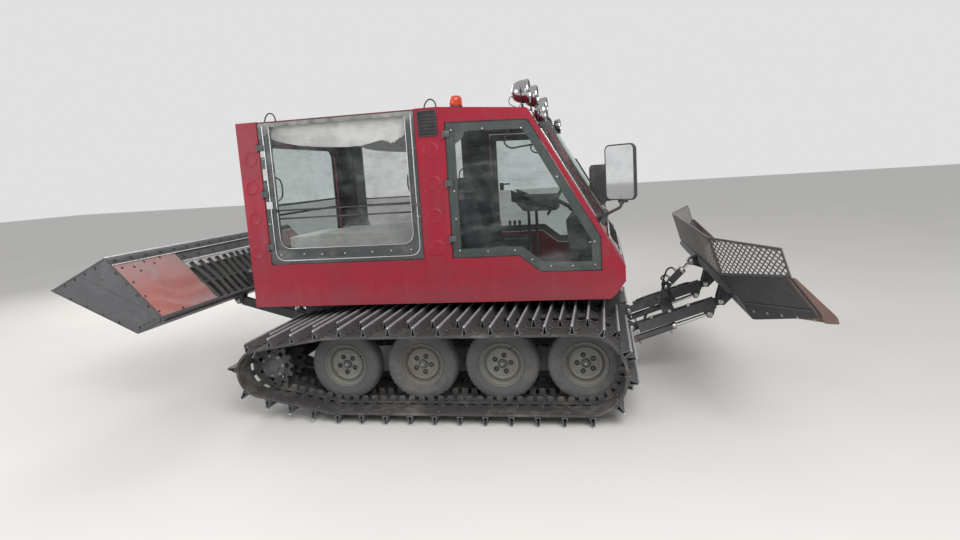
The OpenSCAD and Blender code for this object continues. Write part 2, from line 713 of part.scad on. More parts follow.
// A point of the front face, at distance s down its slope
function front_point(s) = [roof_front + s * sin(front_a), 0, roof_front_z - s * cos(front_a)];
module at_mirror(m) translate([m[1], m[0] * mirror_y, m[2]]) rotate([0, 0, m[0] * m[3]]) children();
module mirrors() {
    color("black") for (m = mirrors_at) {
        at_mirror(m) difference() {
            block(mirror_case, [-mirror_w / 2, mirror_w / 2], [-mirror_h / 2, mirror_h / 2]);
            block([mirror_case[0] - 12, mirror_case[0] + 6],
                [mirror_edge - mirror_w / 2, mirror_w / 2 - mirror_edge],
                [mirror_edge - mirror_h / 2, mirror_h / 2 - mirror_edge]);
        }
        low = [m[1], m[0] * mirror_y, m[2] - mirror_h / 2 + mirror_edge];
        neck = low - [0, 0, 60];
        foot = front_point(mirror_foot_s) + [mirror_foot_out * cos(front_a), m[0] * mirror_foot_y, 0];
        elbow = foot + [10, m[0] * 120, 20];
        rod_between(low, neck, mirror_rod_r);
        rod_between(neck, elbow, mirror_rod_r);
        rod_between(elbow, foot, mirror_rod_r);
        for (q = [neck, elbow]) translate(q) sphere(r = mirror_rod_r + 2);
        front_frame() translate([touch, m[0] * mirror_foot_y, -mirror_foot_s]) rotate([0, 90, 0])
            cylinder(r = 2 * mirror_rod_r, h = mirror_foot_out + 12);
    }
}
module mirror_glass() {
    edge = mirror_edge + 2;
    color("white") for (m = mirrors_at) at_mirror(m)
        block([mirror_case[0] + 1, mirror_case[0] + 6 - touch], [edge - mirror_w / 2, mirror_w / 2 - edge],
            [edge - mirror_h / 2, mirror_h / 2 - edge]);
}

// Height of the roof's outside at x
function roof_top(x) = roof_z - max(0, x - roof_kink) * (roof_z - roof_front_z) / (roof_front - roof_kink);
function front_top(x) = roof_front_z - (x - roof_front) / tan(front_a);
// Lamps: distance in from the body's side, front ahead of the roof's front, height over the roof,
// radius, length, and distance of the post behind the front
lamps_at = [[175, 11, 80, 98, 138, 60], [575, 39, 80, 96, 110, 60], [110, 136, -100, 82, 80, 48]];
post_r = 12;
// Share of a lamp's length that is full width, and share of its radius left at the back
bowl_rim = 0.35;
bowl_back = 0.55;
module roof_lamps() {
    color("silver") both_sides() for (l = lamps_at) {
        y = l[0] - body_half;
        z = roof_z + l[2];
        x = roof_front + l[1] - l[5];
        translate([roof_front + l[1], y, z]) rotate([0, -90, 0]) {
            cylinder(r = l[3], h = l[4] * bowl_rim);
            translate([0, 0, l[4] * bowl_rim])
                cylinder(r1 = l[3] - 4, r2 = l[3] * bowl_back, h = l[4] * (1 - bowl_rim));
        }
        floor_at = (x - post_r < roof_front ? roof_top(x - post_r) : front_top(x - post_r)) + touch;
        translate([x, y, floor_at]) cylinder(r = post_r, h = z - floor_at - l[3] * 0.4);
    }
}
// Beacon: radius, height of its straight part and of its top, and the top's radius
beacon_r = 52;
beacon_h = 72;
beacon_cap = 26;
beacon_top_r = 34;
beacon_at = [roof_kink + 142, 145 - body_half];
module beacon() {
    color("orange") translate([beacon_at[0], beacon_at[1], roof_top(beacon_at[0] - beacon_r) + touch]) {
        cylinder(r = beacon_r, h = beacon_h);
        translate([0, 0, beacon_h]) cylinder(r1 = beacon_r, r2 = beacon_top_r, h = beacon_cap);
    }
}

// Front blade and its lift

beam_a = atan2(pitch_z - lift_z, pitch_x - lift_x);
lift_p = [lift_x, lift_z];
lift_q = lift_p + [-20, -110];
pitch_p = [pitch_x, pitch_z];
rear_eye_y = beam_y - 75;
rear_eye_w = 48;
front_eye_w = 44;
hub_p = [1735, 744];
function on_beam(x, up) = [x, lift_z + (x - lift_x) * tan(beam_a) + up];
// Rod eye of a lift cylinder under the beam, and its drift from the pin
lift_e = [2060, 575];
lift_drift = 5;
eye_room = 3;
// Height of the bars that end in an eye
eye_bar = 2 * eye_r - 2;
// Rod eye of the pitch cylinder on the blade
blade_e = [1965, 985];
pitch_drift = 4.5;
module push_frame() {
    color("dimgray") {
        difference() {
            union() {
                both_sides() {
                    along_y(-beam_y - beam_w / 2, -beam_y + beam_w / 2)
                        polygon(bar_outline(on_beam(lift_x + 60, 0), on_beam(pitch_x - 45, 0), beam_w));
                    // Rear eye between the tub's lugs, and the step out to the beam
                    along_y(-rear_eye_y - rear_eye_w / 2, -rear_eye_y + rear_eye_w / 2)
                        polygon(bar_outline(lift_p, on_beam(lift_x + 150, 0), eye_bar));
                    bar_y(lift_x, lift_z, eye_r, -rear_eye_y - rear_eye_w / 2, -rear_eye_y + rear_eye_w / 2);
                    along_y(-beam_y, -rear_eye_y)
                        polygon(bar_outline(on_beam(lift_x + 90, 0), on_beam(lift_x + 150, 0), eye_bar));
                    // Front eye for the blade's pin
                    along_y(-beam_y - front_eye_w / 2, -beam_y + front_eye_w / 2)
                        polygon(bar_outline(on_beam(pitch_x - 60, 0), pitch_p, eye_bar));
                    bar_y(pitch_x, pitch_z, eye_r, -beam_y - front_eye_w / 2, -beam_y + front_eye_w / 2);
                }
                along_y(-beam_y, beam_y)
                    polygon(bar_outline(on_beam(hub_p[0] - 50, 0), on_beam(hub_p[0] + 50, 0), beam_w - 10));
            }
            bar_y(lift_x, lift_z, pin_r + pin_gap, -beam_y, beam_y);
            bar_y(pitch_x, pitch_z, pin_r + pin_gap, -2 * beam_y, 2 * beam_y);
            // Room under the beams for the lift rods' eyes
            both_sides() bar_y(lift_e[0], lift_e[1], eye_r + lift_drift + eye_room,
                -beam_y - eye_w / 2 - lug_gap, -beam_y + eye_w / 2 + lug_gap);
        }
        // Upright that carries the pitch cylinder
        fork(0, eye_w + 2 * lug_gap, hub_p,
            [on_beam(hub_p[0] - 60, 30), hub_p + [-34, 10], hub_p + [-18, 34], hub_p + [18, 34],
                hub_p + [34, 10], on_beam(hub_p[0] + 60, 30)]);
        both_sides() fork(-beam_y, eye_w + 2 * lug_gap, lift_e,
            [on_beam(lift_e[0] - 60, -40), on_beam(lift_e[0] + 50, -40), lift_e + [36, 0], lift_e + [16, -32],
                lift_e + [-16, -32], lift_e + [-36, 0]]);
    }
}

// Lengths of the barrels, and where their rods begin inside them
lift_barrel_l = 430;
pitch_barrel_l = 230;
board_barrel_l = 270;
lift_start = 215;
pitch_start = 123;
board_start = 135;
module blade_lift_barrels()
    color("dimgray") both_sides() translate([0, -beam_y, 0])
        barrel(lift_q, lift_e, lift_barrel_r, lift_barrel_l, lift_rod_r);
module blade_lift_rods()
    color("silver") both_sides() translate([0, -beam_y, 0])
        rod(lift_q, lift_e, lift_rod_r, lift_start, lift_drift);
module pitch_barrel()
    color("dimgray") barrel(hub_p, blade_e, pitch_barrel_r, pitch_barrel_l, pitch_rod_r);
module pitch_rod() color("silver") rod(hub_p, blade_e, pitch_rod_r, pitch_start, pitch_drift);

// Plate outline between profile points, at thickness t to the rear
function plate(p, t) = concat(p, [for (i = [len(p) - 1:-1:0]) p[i] - [t, 0]]);
module wing_frame() {
    translate([blade_edge[0], -blade_half, blade_edge[1]]) rotate([0, blade_lean, 0])
        rotate([0, 0, wing_a]) rotate([0, -blade_lean, 0]) translate([-blade_edge[0], 0, -blade_edge[1]])
        children();
}
// Cuts what lies over a slanting plane at the wing's top, or under one at its edge, where way is -1
module wing_cut(p, way)
    translate([p[0], 0, p[1]]) rotate([0, blade_lean, 0]) rotate([way * atan2(wing_drop, wing_l), 0, 0])
        translate([-500, -wing_l - 200, way > 0 ? 0 : -400]) cube([1000, wing_l + 200, 400]);
module wing_trim() {
    difference() {
        children();
        wing_cut(blade_top, 1);
        wing_cut(blade_edge, -1);
    }
}
module blade() {
    color("dimgray") {
        along_y(-blade_half, blade_half) polygon(plate([blade_mid, blade_fold, blade_edge], blade_t));
        both_sides() wing_frame() wing_trim()
            along_y(-wing_l, 0) polygon(plate([blade_mid, blade_fold, blade_edge], blade_t));
        // Stiffening box behind the plate
        along_y(-blade_half + 30, blade_half - 30)
            polygon([for (q = [[2, -20], [100, -145], [52, -145], [-14, -60]]) blade_mid + q]);
    }
    // Lugs for the pitch pins and the pitch cylinder
    color("dimgray") {
        both_sides() fork(-beam_y, front_eye_w + 12, pitch_p,
            [pitch_p + [-32, 30], pitch_p + [10, 185], blade_fold + [-20, 12], blade_edge + [-12, 3],
                pitch_p + [30, -34], pitch_p + [-24, -30]]);
        fork(0, eye_w + 2 * lug_gap, blade_e,
            [blade_mid + [10, -18], blade_mid + [60, -140], blade_mid + [30, -135], blade_e + [16, -34],
                blade_e + [-18, -30], blade_e + [-36, 0], blade_e + [-20, 30]]);
    }
}
module blade_screen() {
    color("silver") {
        along_y(-blade_half, blade_half) polygon(plate([blade_top, blade_mid + [0, touch]], screen_t));
        both_sides() wing_frame() wing_trim()
            along_y(-wing_l, 0) polygon(plate([blade_top, blade_mid + [0, touch]], screen_t));
    }
}

// Rear board and its lift

arm_p = [-arm_back, arm_z];
board_p = [-board_back, board_z];
arm_w = 60;
// Pins of the lift cylinders and of the top link, and the rod eyes' drift from them
board_q = [-1805, 480];
board_e = [-2150, 781];
board_drift = 5.5;
link_p = [-1800, 680];
link_e = [-2580, 1035];
link_drift = 5;
function on_arm(x, up) = arm_p + (x - arm_p[0]) * (board_p - arm_p) / (board_p[0] - arm_p[0]) + [0, up];
module rear_arms() {
    color("dimgray") {
        difference() {
            union() {
                both_sides() {
                    along_y(-arm_y - arm_w / 2, -arm_y + arm_w / 2)
                        polygon(bar_outline(arm_p, board_p, 80, -30));
                    for (q = [arm_p, board_p])
                        bar_y(q[0], q[1], eye_r, -arm_y - arm_w / 2, -arm_y + arm_w / 2);
                }
                along_y(-arm_y, arm_y)
                    polygon(bar_outline(on_arm(board_e[0] + 40, 0), on_arm(board_e[0] - 40, 0), 70));
            }
            for (q = [arm_p, board_p]) bar_y(q[0], q[1], pin_r + pin_gap, -2 * arm_y, 2 * arm_y);
        }
        both_sides() fork(-board_cyl_y, eye_w + 2 * lug_gap, board_e,
            [on_arm(board_e[0] + 35, 30), on_arm(board_e[0] - 35, 30), board_e + [-36, 0],
                board_e + [-16, 32], board_e + [16, 32], board_e + [36, 0]]);
    }
}
module board_lift_barrels()
    color("dimgray") both_sides() translate([0, -board_cyl_y, 0])
        barrel(board_q, board_e, board_barrel_r, board_barrel_l, board_rod_r);
module board_lift_rods()
    color("silver") both_sides() translate([0, -board_cyl_y, 0])
        rod(board_q, board_e, board_rod_r, board_start, board_drift);
// Link that keeps the board level as the arms fall
module top_link() {
    color("dimgray") difference() {
        union() {
            for (q = [link_p, link_e]) bar_y(q[0], q[1], eye_r, -eye_w / 2, eye_w / 2);
            along_y(-eye_w / 2 + 2, eye_w / 2 - 2) polygon(bar_outline(link_p, link_e, 44, -26));
        }
        bar_y(link_p[0], link_p[1], pin_r + pin_gap, -eye_w, eye_w);
        bar_y(link_e[0], link_e[1], pin_r + link_drift, -eye_w, eye_w);
    }
}

section = [board_top, board_front, board_foot, board_tail];
// Inner end of a cover plate
cover_in = 800;
module board_frame() {
    color("dimgray") {
        both_sides() along_y(-board_half, -board_half + board_t) polygon(section);
        along_y(-board_half, board_half)
            polygon([board_foot, board_tail, board_tail + [10, 12], board_foot + [4, 12]]);
        along_y(-board_half, board_half)
            polygon([board_front, board_foot, board_foot + [-4, 12], board_front + [-10, 10]]);
        along_y(-board_half, board_half)
            polygon([board_top, board_top + [60, -66], board_top + [16, -106], board_top + [-44, -40]]);
        // Lugs on the arms' pins and on the top link's pin
        both_sides() fork(-arm_y, arm_w + 2 * lug_gap, board_p,
            [board_p + [-60, 42], board_p + [60, 82], board_p + [40, 0], board_p + [20, -34],
                board_p + [-20, -34], board_p + [-40, 0]]);
        fork(0, eye_w + 2 * lug_gap, link_e,
            [board_p + [90, 95], board_p + [-80, 25], link_e + [-40, -6], link_e + [-18, 34],
                link_e + [18, 34], link_e + [40, -6]]);
    }
}
module board_cover() {
    color("indianred") both_sides() along_y(-board_half + board_t + touch, -cover_in)
        polygon([board_top + [62, -66], board_front + [-12, 12],
            board_front + [-20, 6], board_top + [54, -74]]);
}

place() chassis_tub();
place() engine_block();
place() final_drives();
place() axles();
place() track_right();
place() track_left();
place() tyres();
place() rims();
place() sprockets();
place() side_wall_right();
place() side_wall_left();
place() rear_wall();
place() roof();
place() front_panel();
place() cab_floor();
place() fixed_glass();
place() windscreen_frame();
place() engine_cover();
place() seats();
place() dashboard();
place() cab_door_right();
place() cab_glass_right();
place() cab_door_left();
place() cab_glass_left();
place() rear_door_right();
place() rear_glass_right();
place() rear_door_left();
place() rear_glass_left();
place() mirrors();
place() mirror_glass();
place() roof_lamps();
place() beacon();
place() push_frame();
place() blade_lift_barrels();
place() blade_lift_rods();
place() pitch_barrel();
place() pitch_rod();
place() blade();
place() blade_screen();
place() rear_arms();
place() board_lift_barrels();
place() board_lift_rods();
place() top_link();
place() board_frame();
place() board_cover();
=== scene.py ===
import math

import bmesh
import bpy
import numpy as np
from mathutils import Matrix, Vector
from mathutils.geometry import delaunay_2d_cdt


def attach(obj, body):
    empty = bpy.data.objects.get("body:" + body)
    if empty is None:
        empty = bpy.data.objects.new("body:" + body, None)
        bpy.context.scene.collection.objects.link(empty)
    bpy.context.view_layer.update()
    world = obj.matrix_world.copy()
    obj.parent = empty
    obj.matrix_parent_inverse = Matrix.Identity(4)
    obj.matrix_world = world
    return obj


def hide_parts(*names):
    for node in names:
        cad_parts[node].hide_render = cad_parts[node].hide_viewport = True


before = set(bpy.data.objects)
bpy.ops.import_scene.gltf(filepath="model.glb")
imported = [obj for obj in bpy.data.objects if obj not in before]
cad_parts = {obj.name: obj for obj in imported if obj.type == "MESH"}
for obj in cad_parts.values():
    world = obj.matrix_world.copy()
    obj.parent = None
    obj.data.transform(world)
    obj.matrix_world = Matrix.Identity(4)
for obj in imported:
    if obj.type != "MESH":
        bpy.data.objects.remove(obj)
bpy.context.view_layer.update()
print("frame loaded:", len(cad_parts), "nodes")

# All places below are metres ahead of the middle of the road wheels, to the left, and above the ground
ahead = 0.5441514
bpy.context.scene.view_settings.view_transform = "Standard"


# Mesh helpers: every shape is a pair of points (n, 3) and faces (m, k)

def joined(*forms):
    # Several shapes as one: points stacked, faces moved up by the points before them
    points, faces, count = [], [], 0
    for p, fs in forms:
        points.append(p)
        faces += [f + count for f in fs]
        count += len(p)
    return np.concatenate(points), faces


def gridForm(p, closeU=False, closeV=False, capStart=False, capEnd=False):
    # A grid of points (rows, columns) as quads, closed round either way, with a cap at either end of the rows
    rows, cols = p.shape[:2]
    i = np.arange(rows if closeU else rows - 1)[:, None]
    j = np.arange(cols if closeV else cols - 1)[None, :]
    i2, j2 = (i + 1) % rows, (j + 1) % cols
    quads = np.stack(np.broadcast_arrays(i * cols + j, i * cols + j2, i2 * cols + j2, i2 * cols + j),
        -1).reshape(-1, 4)
    faces = [quads]
    if capStart:
        faces.append(np.arange(cols)[::-1][None, :])
    if capEnd:
        faces.append((rows - 1) * cols + np.arange(cols)[None, :])
    return p.reshape(-1, 3), faces


def flipped(form):
    # Faces turned round, so that they look the other way
    return form[0], [f[:, ::-1] for f in form[1]]


def mirrored(form):
    # The same on the other side: Y negated and faces turned round
    return flipped((form[0] * [1, -1, 1], form[1]))


def bothSides(*forms):
    # Shapes of the right side together with their mirror images
    form = joined(*forms)
    return joined(form, mirrored(form))


def onSide(form, side):
    # A right-hand shape, or its mirror image for the left side
    return mirrored(form) if side == "left" else form


def repeated(form, frames):
    # Copies of a shape through an array of 4 x 4 matrices
    p, faces = form
    k = len(frames)
    moved = np.einsum("kij,nj->kni", frames[:, :3, :3], p) + frames[:, None, :3, 3]
    step = np.arange(k)[:, None, None] * len(p)
    return moved.reshape(-1, 3), [(f[None] + step).reshape(-1, f.shape[1]) for f in faces]


def framesAt(points, xAxis=(1, 0, 0), yAxis=(0, 1, 0), zAxis=(0, 0, 1)):
    # Matrices whose columns are the given axes and place, each one fixed or per point
    points = np.atleast_2d(np.asarray(points, float))
    m = np.zeros((len(points), 4, 4))
    for k, axis in enumerate((xAxis, yAxis, zAxis)):
        m[:, :3, k] = axis
    m[:, :3, 3] = points
    m[:, 3, 3] = 1
    return m


def unit(v):
    # Vectors divided by their lengths
    v = np.asarray(v, float)
    return v / np.linalg.norm(v, axis=-1, keepdims=True)


def placed(form, origin, xAxis=(1, 0, 0), yAxis=(0, 1, 0), zAxis=(0, 0, 1)):
    # Copies of a shape at one place or several, its own axes turned to the given ones
    return repeated(form, framesAt(origin, xAxis, yAxis, zAxis))


# Axes that stand a form made in X and Y upright, with its Z to the right, ahead, behind or down
toRight = ((1, 0, 0), (0, 0, 1), (0, -1, 0))
toFront = ((0, 1, 0), (0, 0, 1), (1, 0, 0))
toRear = ((0, -1, 0), (0, 0, 1), (-1, 0, 0))
toGround = ((1, 0, 0), (0, -1, 0), (0, 0, -1))


def inset(outline, d):
    # A closed outline moved inwards by d along the mean of its two edges' normals
    a, b = np.roll(outline, 1, 0), np.roll(outline, -1, 0)
    n1, n2 = unit(outline - a), unit(b - outline)
    n1, n2 = (np.stack([-n[:, 1], n[:, 0]], -1) for n in (n1, n2))
    return outline + (n1 + n2) * (d / (1 + (n1 * n2).sum(-1, keepdims=True)))


def slab(outline, levels):
    # A closed outline carried up Z through (height, inset) pairs, with flat ends
    outline = np.asarray(outline, float)
    x, y = outline.T
    if (x * np.roll(y, -1) - np.roll(x, -1) * y).sum() < 0:
        outline = outline[::-1]
    rings = [np.column_stack([inset(outline, d) if d else outline, np.full(len(outline), h)])
        for h, d in levels]
    return gridForm(np.stack(rings), closeV=True, capStart=True, capEnd=True)


def sheetSlab(outline, thickness, edge=0.0015):
    # A plate between z = 0 and its thickness with chamfered edges
    return slab(outline, [(0, edge), (edge, 0), (thickness - edge, 0), (thickness, edge)])


def circle(r, n=24, x=0.0, y=0.0):
    # Points round a middle at equal steps of the angle
    a = np.linspace(0, 2 * math.pi, n, endpoint=False)
    return np.column_stack([x + r * np.cos(a), y + r * np.sin(a)])


def roundRect(w, h, r, n=5, x=0, y=0):
    # A rectangle round a middle, counterclockwise, with corners of radius r and n points each
    corner = circle(r, 4 * n - 4)[:n]
    out = []
    for k, (sx, sy) in enumerate(((1, 1), (-1, 1), (-1, -1), (1, -1))):
        c, s = round(math.cos(k * math.pi / 2)), round(math.sin(k * math.pi / 2))
        out.append(corner @ [[c, s], [-s, c]] + [x + sx * (w / 2 - r), y + sy * (h / 2 - r)])
    return np.concatenate(out)


def rounded(points, radius, n=5):
    # An outline whose corners are cut by quadratic curves between the points at the radius from each corner
    points = np.asarray(points, float)
    radius = np.broadcast_to(radius, len(points))[:, None, None]
    a, b = np.roll(points, 1, 0), np.roll(points, -1, 0)
    p = points[:, None]
    s, e = p + unit(a - points)[:, None] * radius, p + unit(b - points)[:, None] * radius
    t = np.linspace(0, 1, n)[None, :, None]
    return (s * (1 - t) ** 2 + p * 2 * t * (1 - t) + e * t ** 2).reshape(-1, 2)


def rounded3(points, radius, n=6):
    # A path whose inner corners are cut by arcs
    p = np.asarray(points, float)
    out = [p[0]]
    for a, b, c in zip(p, p[1:], p[2:]):
        r = min(radius, np.linalg.norm(a - b) * 0.45, np.linalg.norm(c - b) * 0.45)
        s, e = b + unit(a - b) * r, b + unit(c - b) * r
        t = np.linspace(0, 1, n)[:, None]
        out += list((1 - t) ** 2 * s + 2 * t * (1 - t) * b + t * t * e)
    return np.array(out + [p[-1]])


def lathe(profile, n=32, ring=False):
    # A profile of (radius, height) pairs turned round Z: from axis to axis, or closed on itself as a ring
    r, h = np.asarray(profile, float).T[:, :, None]
    a = np.linspace(0, 2 * math.pi, n, endpoint=False)
    return gridForm(np.stack([r * np.cos(a), r * np.sin(a), h + 0 * a], -1), closeU=ring, closeV=True)


def curveThrough(points, n=24):
    # A smooth path through the points: Catmull-Rom pieces, evaluated as one array
    p = np.asarray(points, float)
    p = np.concatenate([2 * p[:1] - p[1:2], p, 2 * p[-1:] - p[-2:-1]])
    t = np.linspace(0, len(p) - 3, n)
    k = np.minimum(t.astype(int), len(p) - 4)
    u = (t - k)[:, None]
    a, b, c, d = p[k], p[k + 1], p[k + 2], p[k + 3]
    return 0.5 * (2 * b + (c - a) * u + (2 * a - 5 * b + 4 * c - d) * u ** 2
        + (3 * b - a - 3 * c + d) * u ** 3)


def tube(path, radius, sides=10, closed=False):
    # Circles round a path, square to it; the reference side is carried from one point to the next
    path = np.asarray(path, float)
    t = unit(np.roll(path, -1, 0) - np.roll(path, 1, 0) if closed else np.gradient(path, axis=0))
    ref = np.eye(3)[np.argmin(np.abs(t).mean(0))]
    u = unit(np.cross(t, ref))
    v = np.cross(t, u)
    a = np.linspace(0, 2 * math.pi, sides, endpoint=False)[None, :, None]
    r = np.broadcast_to(radius, len(path))[:, None, None]
    p = path[:, None] + r * (np.cos(a) * u[:, None] + np.sin(a) * v[:, None])
    return gridForm(p, closeU=closed, closeV=True, capStart=not closed, capEnd=not closed)


def bar(a, b, radius, sides=12, edge=0.002):
    # A round bar from a to b with chamfered ends
    a, b = np.asarray(a, float), np.asarray(b, float)
    d = unit(b - a)
    path = np.array([a, a + d * edge, b - d * edge, b])
    return tube(path, np.array([radius - edge, radius, radius, radius - edge]), sides)


def sweptBar(path, width, height, upAxis=(0, 0, 1), r=0.004):
    # A rounded rectangular section carried along a path
    path = np.asarray(path, float)
    t = unit(np.gradient(path, axis=0))
    side = unit(np.cross(np.broadcast_to(upAxis, t.shape), t))
    up = np.cross(t, side)
    o = roundRect(width, height, r, 3)
    p = path[:, None] + o[None, :, :1] * side[:, None] + o[None, :, 1:] * up[:, None]
    return gridForm(p, closeV=True, capStart=True, capEnd=True)


def boxForm(low, high, edge=0.004):
    # A box between two corners with chamfered edges
    low, high = np.asarray(low, float), np.asarray(high, float)
    w, d, h = high - low
    form = slab(roundRect(w, d, min(edge, w / 3, d / 3), 3), [(0, edge), (edge, 0), (h - edge, 0), (h, edge)])
    return form[0] + [(low[0] + high[0]) / 2, (low[1] + high[1]) / 2, low[2]], form[1]


def sidePlate(outline, y, thickness, edge=0.002):
    # A plate in X and Z whose inner face is at y and which runs outwards on the right side by its thickness
    return placed(sheetSlab(outline, thickness, edge), (0, y, 0), *toRight)


def rightBolts(xz, y, head):
    # Copies of a head on a face at y that looks to the right
    return placed(head, [(x, y, z) for x, z in xz], *toRight)


def plateRing(outer, inner, thickness, edge=0.002):
    # A flat ring between two outlines of equal length, both counterclockwise, from z = 0 up
    levels = [(0, edge), (edge, 0), (thickness - edge, 0), (thickness, edge)]
    out = [np.column_stack([inset(outer, d), np.full(len(outer), h)]) for h, d in levels]
    back = [np.column_stack([inset(inner, -d), np.full(len(inner), h)]) for h, d in levels[::-1]]
    return gridForm(np.stack(out + back), closeU=True, closeV=True)


def hexHead(r=0.009, h=0.006, washer=True):
    # A bolt head on a washer, up Z from the surface
    head = slab(circle(r, 6), [(-0.002, 0), (h * 0.8, 0), (h, r * 0.15)])
    return joined(slab(circle(r * 1.4, 12), [(-0.002, 0), (0.0012, 0), (0.0016, 0.0004)]),
        head) if washer else head


def panHead(r=0.009, h=0.005):
    # A domed screw head, up Z from the surface
    return lathe([(0, -0.002), (r, -0.002), (r, h * 0.2), (r * 0.8, h * 0.7), (r * 0.45, h * 0.95), (0, h)],
        12)


def makePiece(name, form, material, body="machine", replaces=None, smooth=35, wear=None):
    # Puts shapes, joined or with a material each, into one mesh that rides on a body
    if not isinstance(material, list):
        form, material = [joined(*form) if isinstance(form, list) else form], [material]
    points, faces, index = [], [], []
    for k, (p, fs) in enumerate(form):
        start = sum(len(q) for q in points)
        points.append(p)
        for f in fs:
            rows = (f + start).tolist()
            faces += rows
            index += [k] * len(rows)
    mesh = bpy.data.meshes.new(name)
    mesh.from_pydata(np.concatenate(points) + [ahead, 0, 0], [], faces)
    for m in material:
        mesh.materials.append(m)
    mesh.polygons.foreach_set("material_index", np.array(index, np.int32))
    if wear is not None:
        mesh.attributes.new("wear", "FLOAT", "POINT").data.foreach_set("value", np.asarray(wear, np.float32))
    mesh.validate()
    work = bmesh.new()
    work.from_mesh(mesh)
    bmesh.ops.recalc_face_normals(work, faces=work.faces)
    work.to_mesh(mesh)
    work.free()
    piece = bpy.data.objects.new(name, mesh)
    bpy.context.collection.objects.link(piece)
    mesh.shade_smooth()
    mesh.set_sharp_from_angle(angle=math.radians(smooth))
    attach(piece, body)
    if replaces:
        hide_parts(replaces)
    return piece


# Materials: what a node gives takes part in Python arithmetic

class Value:
    # A socket of a material; each operation adds one Math node
    def __init__(self, finish, socket):
        self.finish, self.socket = finish, socket

    def __add__(self, other):
        return self.finish.math("ADD", self, other)

    def __sub__(self, other):
        return self.finish.math("SUBTRACT", self, other)

    def __rsub__(self, other):
        return self.finish.math("SUBTRACT", other, self)

    def __mul__(self, other):
        return self.finish.math("MULTIPLY", self, other)

    __radd__ = __add__
    __rmul__ = __mul__


class Finish:
    # One procedural material, or the world; place is the piece's Object coordinate in metres
    def __init__(self, name, world=None):
        self.material = world or bpy.data.materials.new(name)
        self.material.use_nodes = True
        self.tree = self.material.node_tree
        self.tree.nodes.clear()
        self.place = self.add("ShaderNodeTexCoord", out="Object")

    def add(self, kind, settings=None, inputs=None, out=0):
        # One node with its settings and inputs, linked where an input is a Value; gives one of its outputs
        node = self.tree.nodes.new(kind)
        for key, value in (settings or {}).items():
            setattr(node, key, value)
        for key, value in (inputs or {}).items():
            if isinstance(value, Value):
                self.tree.links.new(value.socket, node.inputs[key])
            else:
                node.inputs[key].default_value = value
        return None if out is None else Value(self, node.outputs[out])

    def math(self, operation, a, b):
        # A Math node of two values
        return self.add("ShaderNodeMath", {"operation": operation}, {0: a, 1: b})

    def noise(self, scale, detail=3, roughness=0.55, stretch=None):
        # Fractal noise at so many features a metre, stretched by three factors where given
        place = self.place
        if stretch:
            place = self.add("ShaderNodeMapping", {}, {"Vector": place, "Scale": stretch})
        return self.add("ShaderNodeTexNoise", {}, {"Vector": place, "Scale": scale, "Detail": detail,
            "Roughness": roughness})

    def cells(self, scale):
        # Distance to the nearest of scattered points, for chips
        return self.add("ShaderNodeTexVoronoi", {}, {"Vector": self.place, "Scale": scale})

    def height(self):
        # The place's Z
        return self.add("ShaderNodeSeparateXYZ", {}, {0: self.place}, out="Z")

    def ramp(self, value, low, high, bottom=0.0, top=1.0):
        # A smooth step from bottom to top as the value goes from low to high
        inputs = {"Value": value, "From Min": low, "From Max": high, "To Min": bottom, "To Max": top}
        return self.add("ShaderNodeMapRange", {"interpolation_type": "SMOOTHSTEP"}, inputs)

    def mix(self, factor, a, b):
        # Colour a at factor 0 and b at factor 1
        a, b = (c if isinstance(c, Value) else (*c, 1.0) for c in (a, b))
        return self.add("ShaderNodeMix", {"data_type": "RGBA"}, {0: factor, 6: a, 7: b}, out=2)

    def shader(self, colour, roughness, height=None, distance=0.001, **constants):
        # The surface shader, with a bump where a height is given; an underscore stands for a space in a name
        colour = colour if isinstance(colour, Value) else (*colour, 1.0)
        inputs = {"Base Color": colour, "Roughness": roughness}
        inputs.update({key.replace("_", " "): value for key, value in constants.items()})
        if height is not None:
            inputs["Normal"] = self.add("ShaderNodeBump", {},
                {"Height": height, "Distance": distance, "Strength": 1.0})
        return self.add("ShaderNodeBsdfPrincipled", {}, inputs)

    def done(self, shader):
        # Ends the material with a shader
        self.add("ShaderNodeOutputMaterial", {}, {0: shader}, out=None)
        return self.material


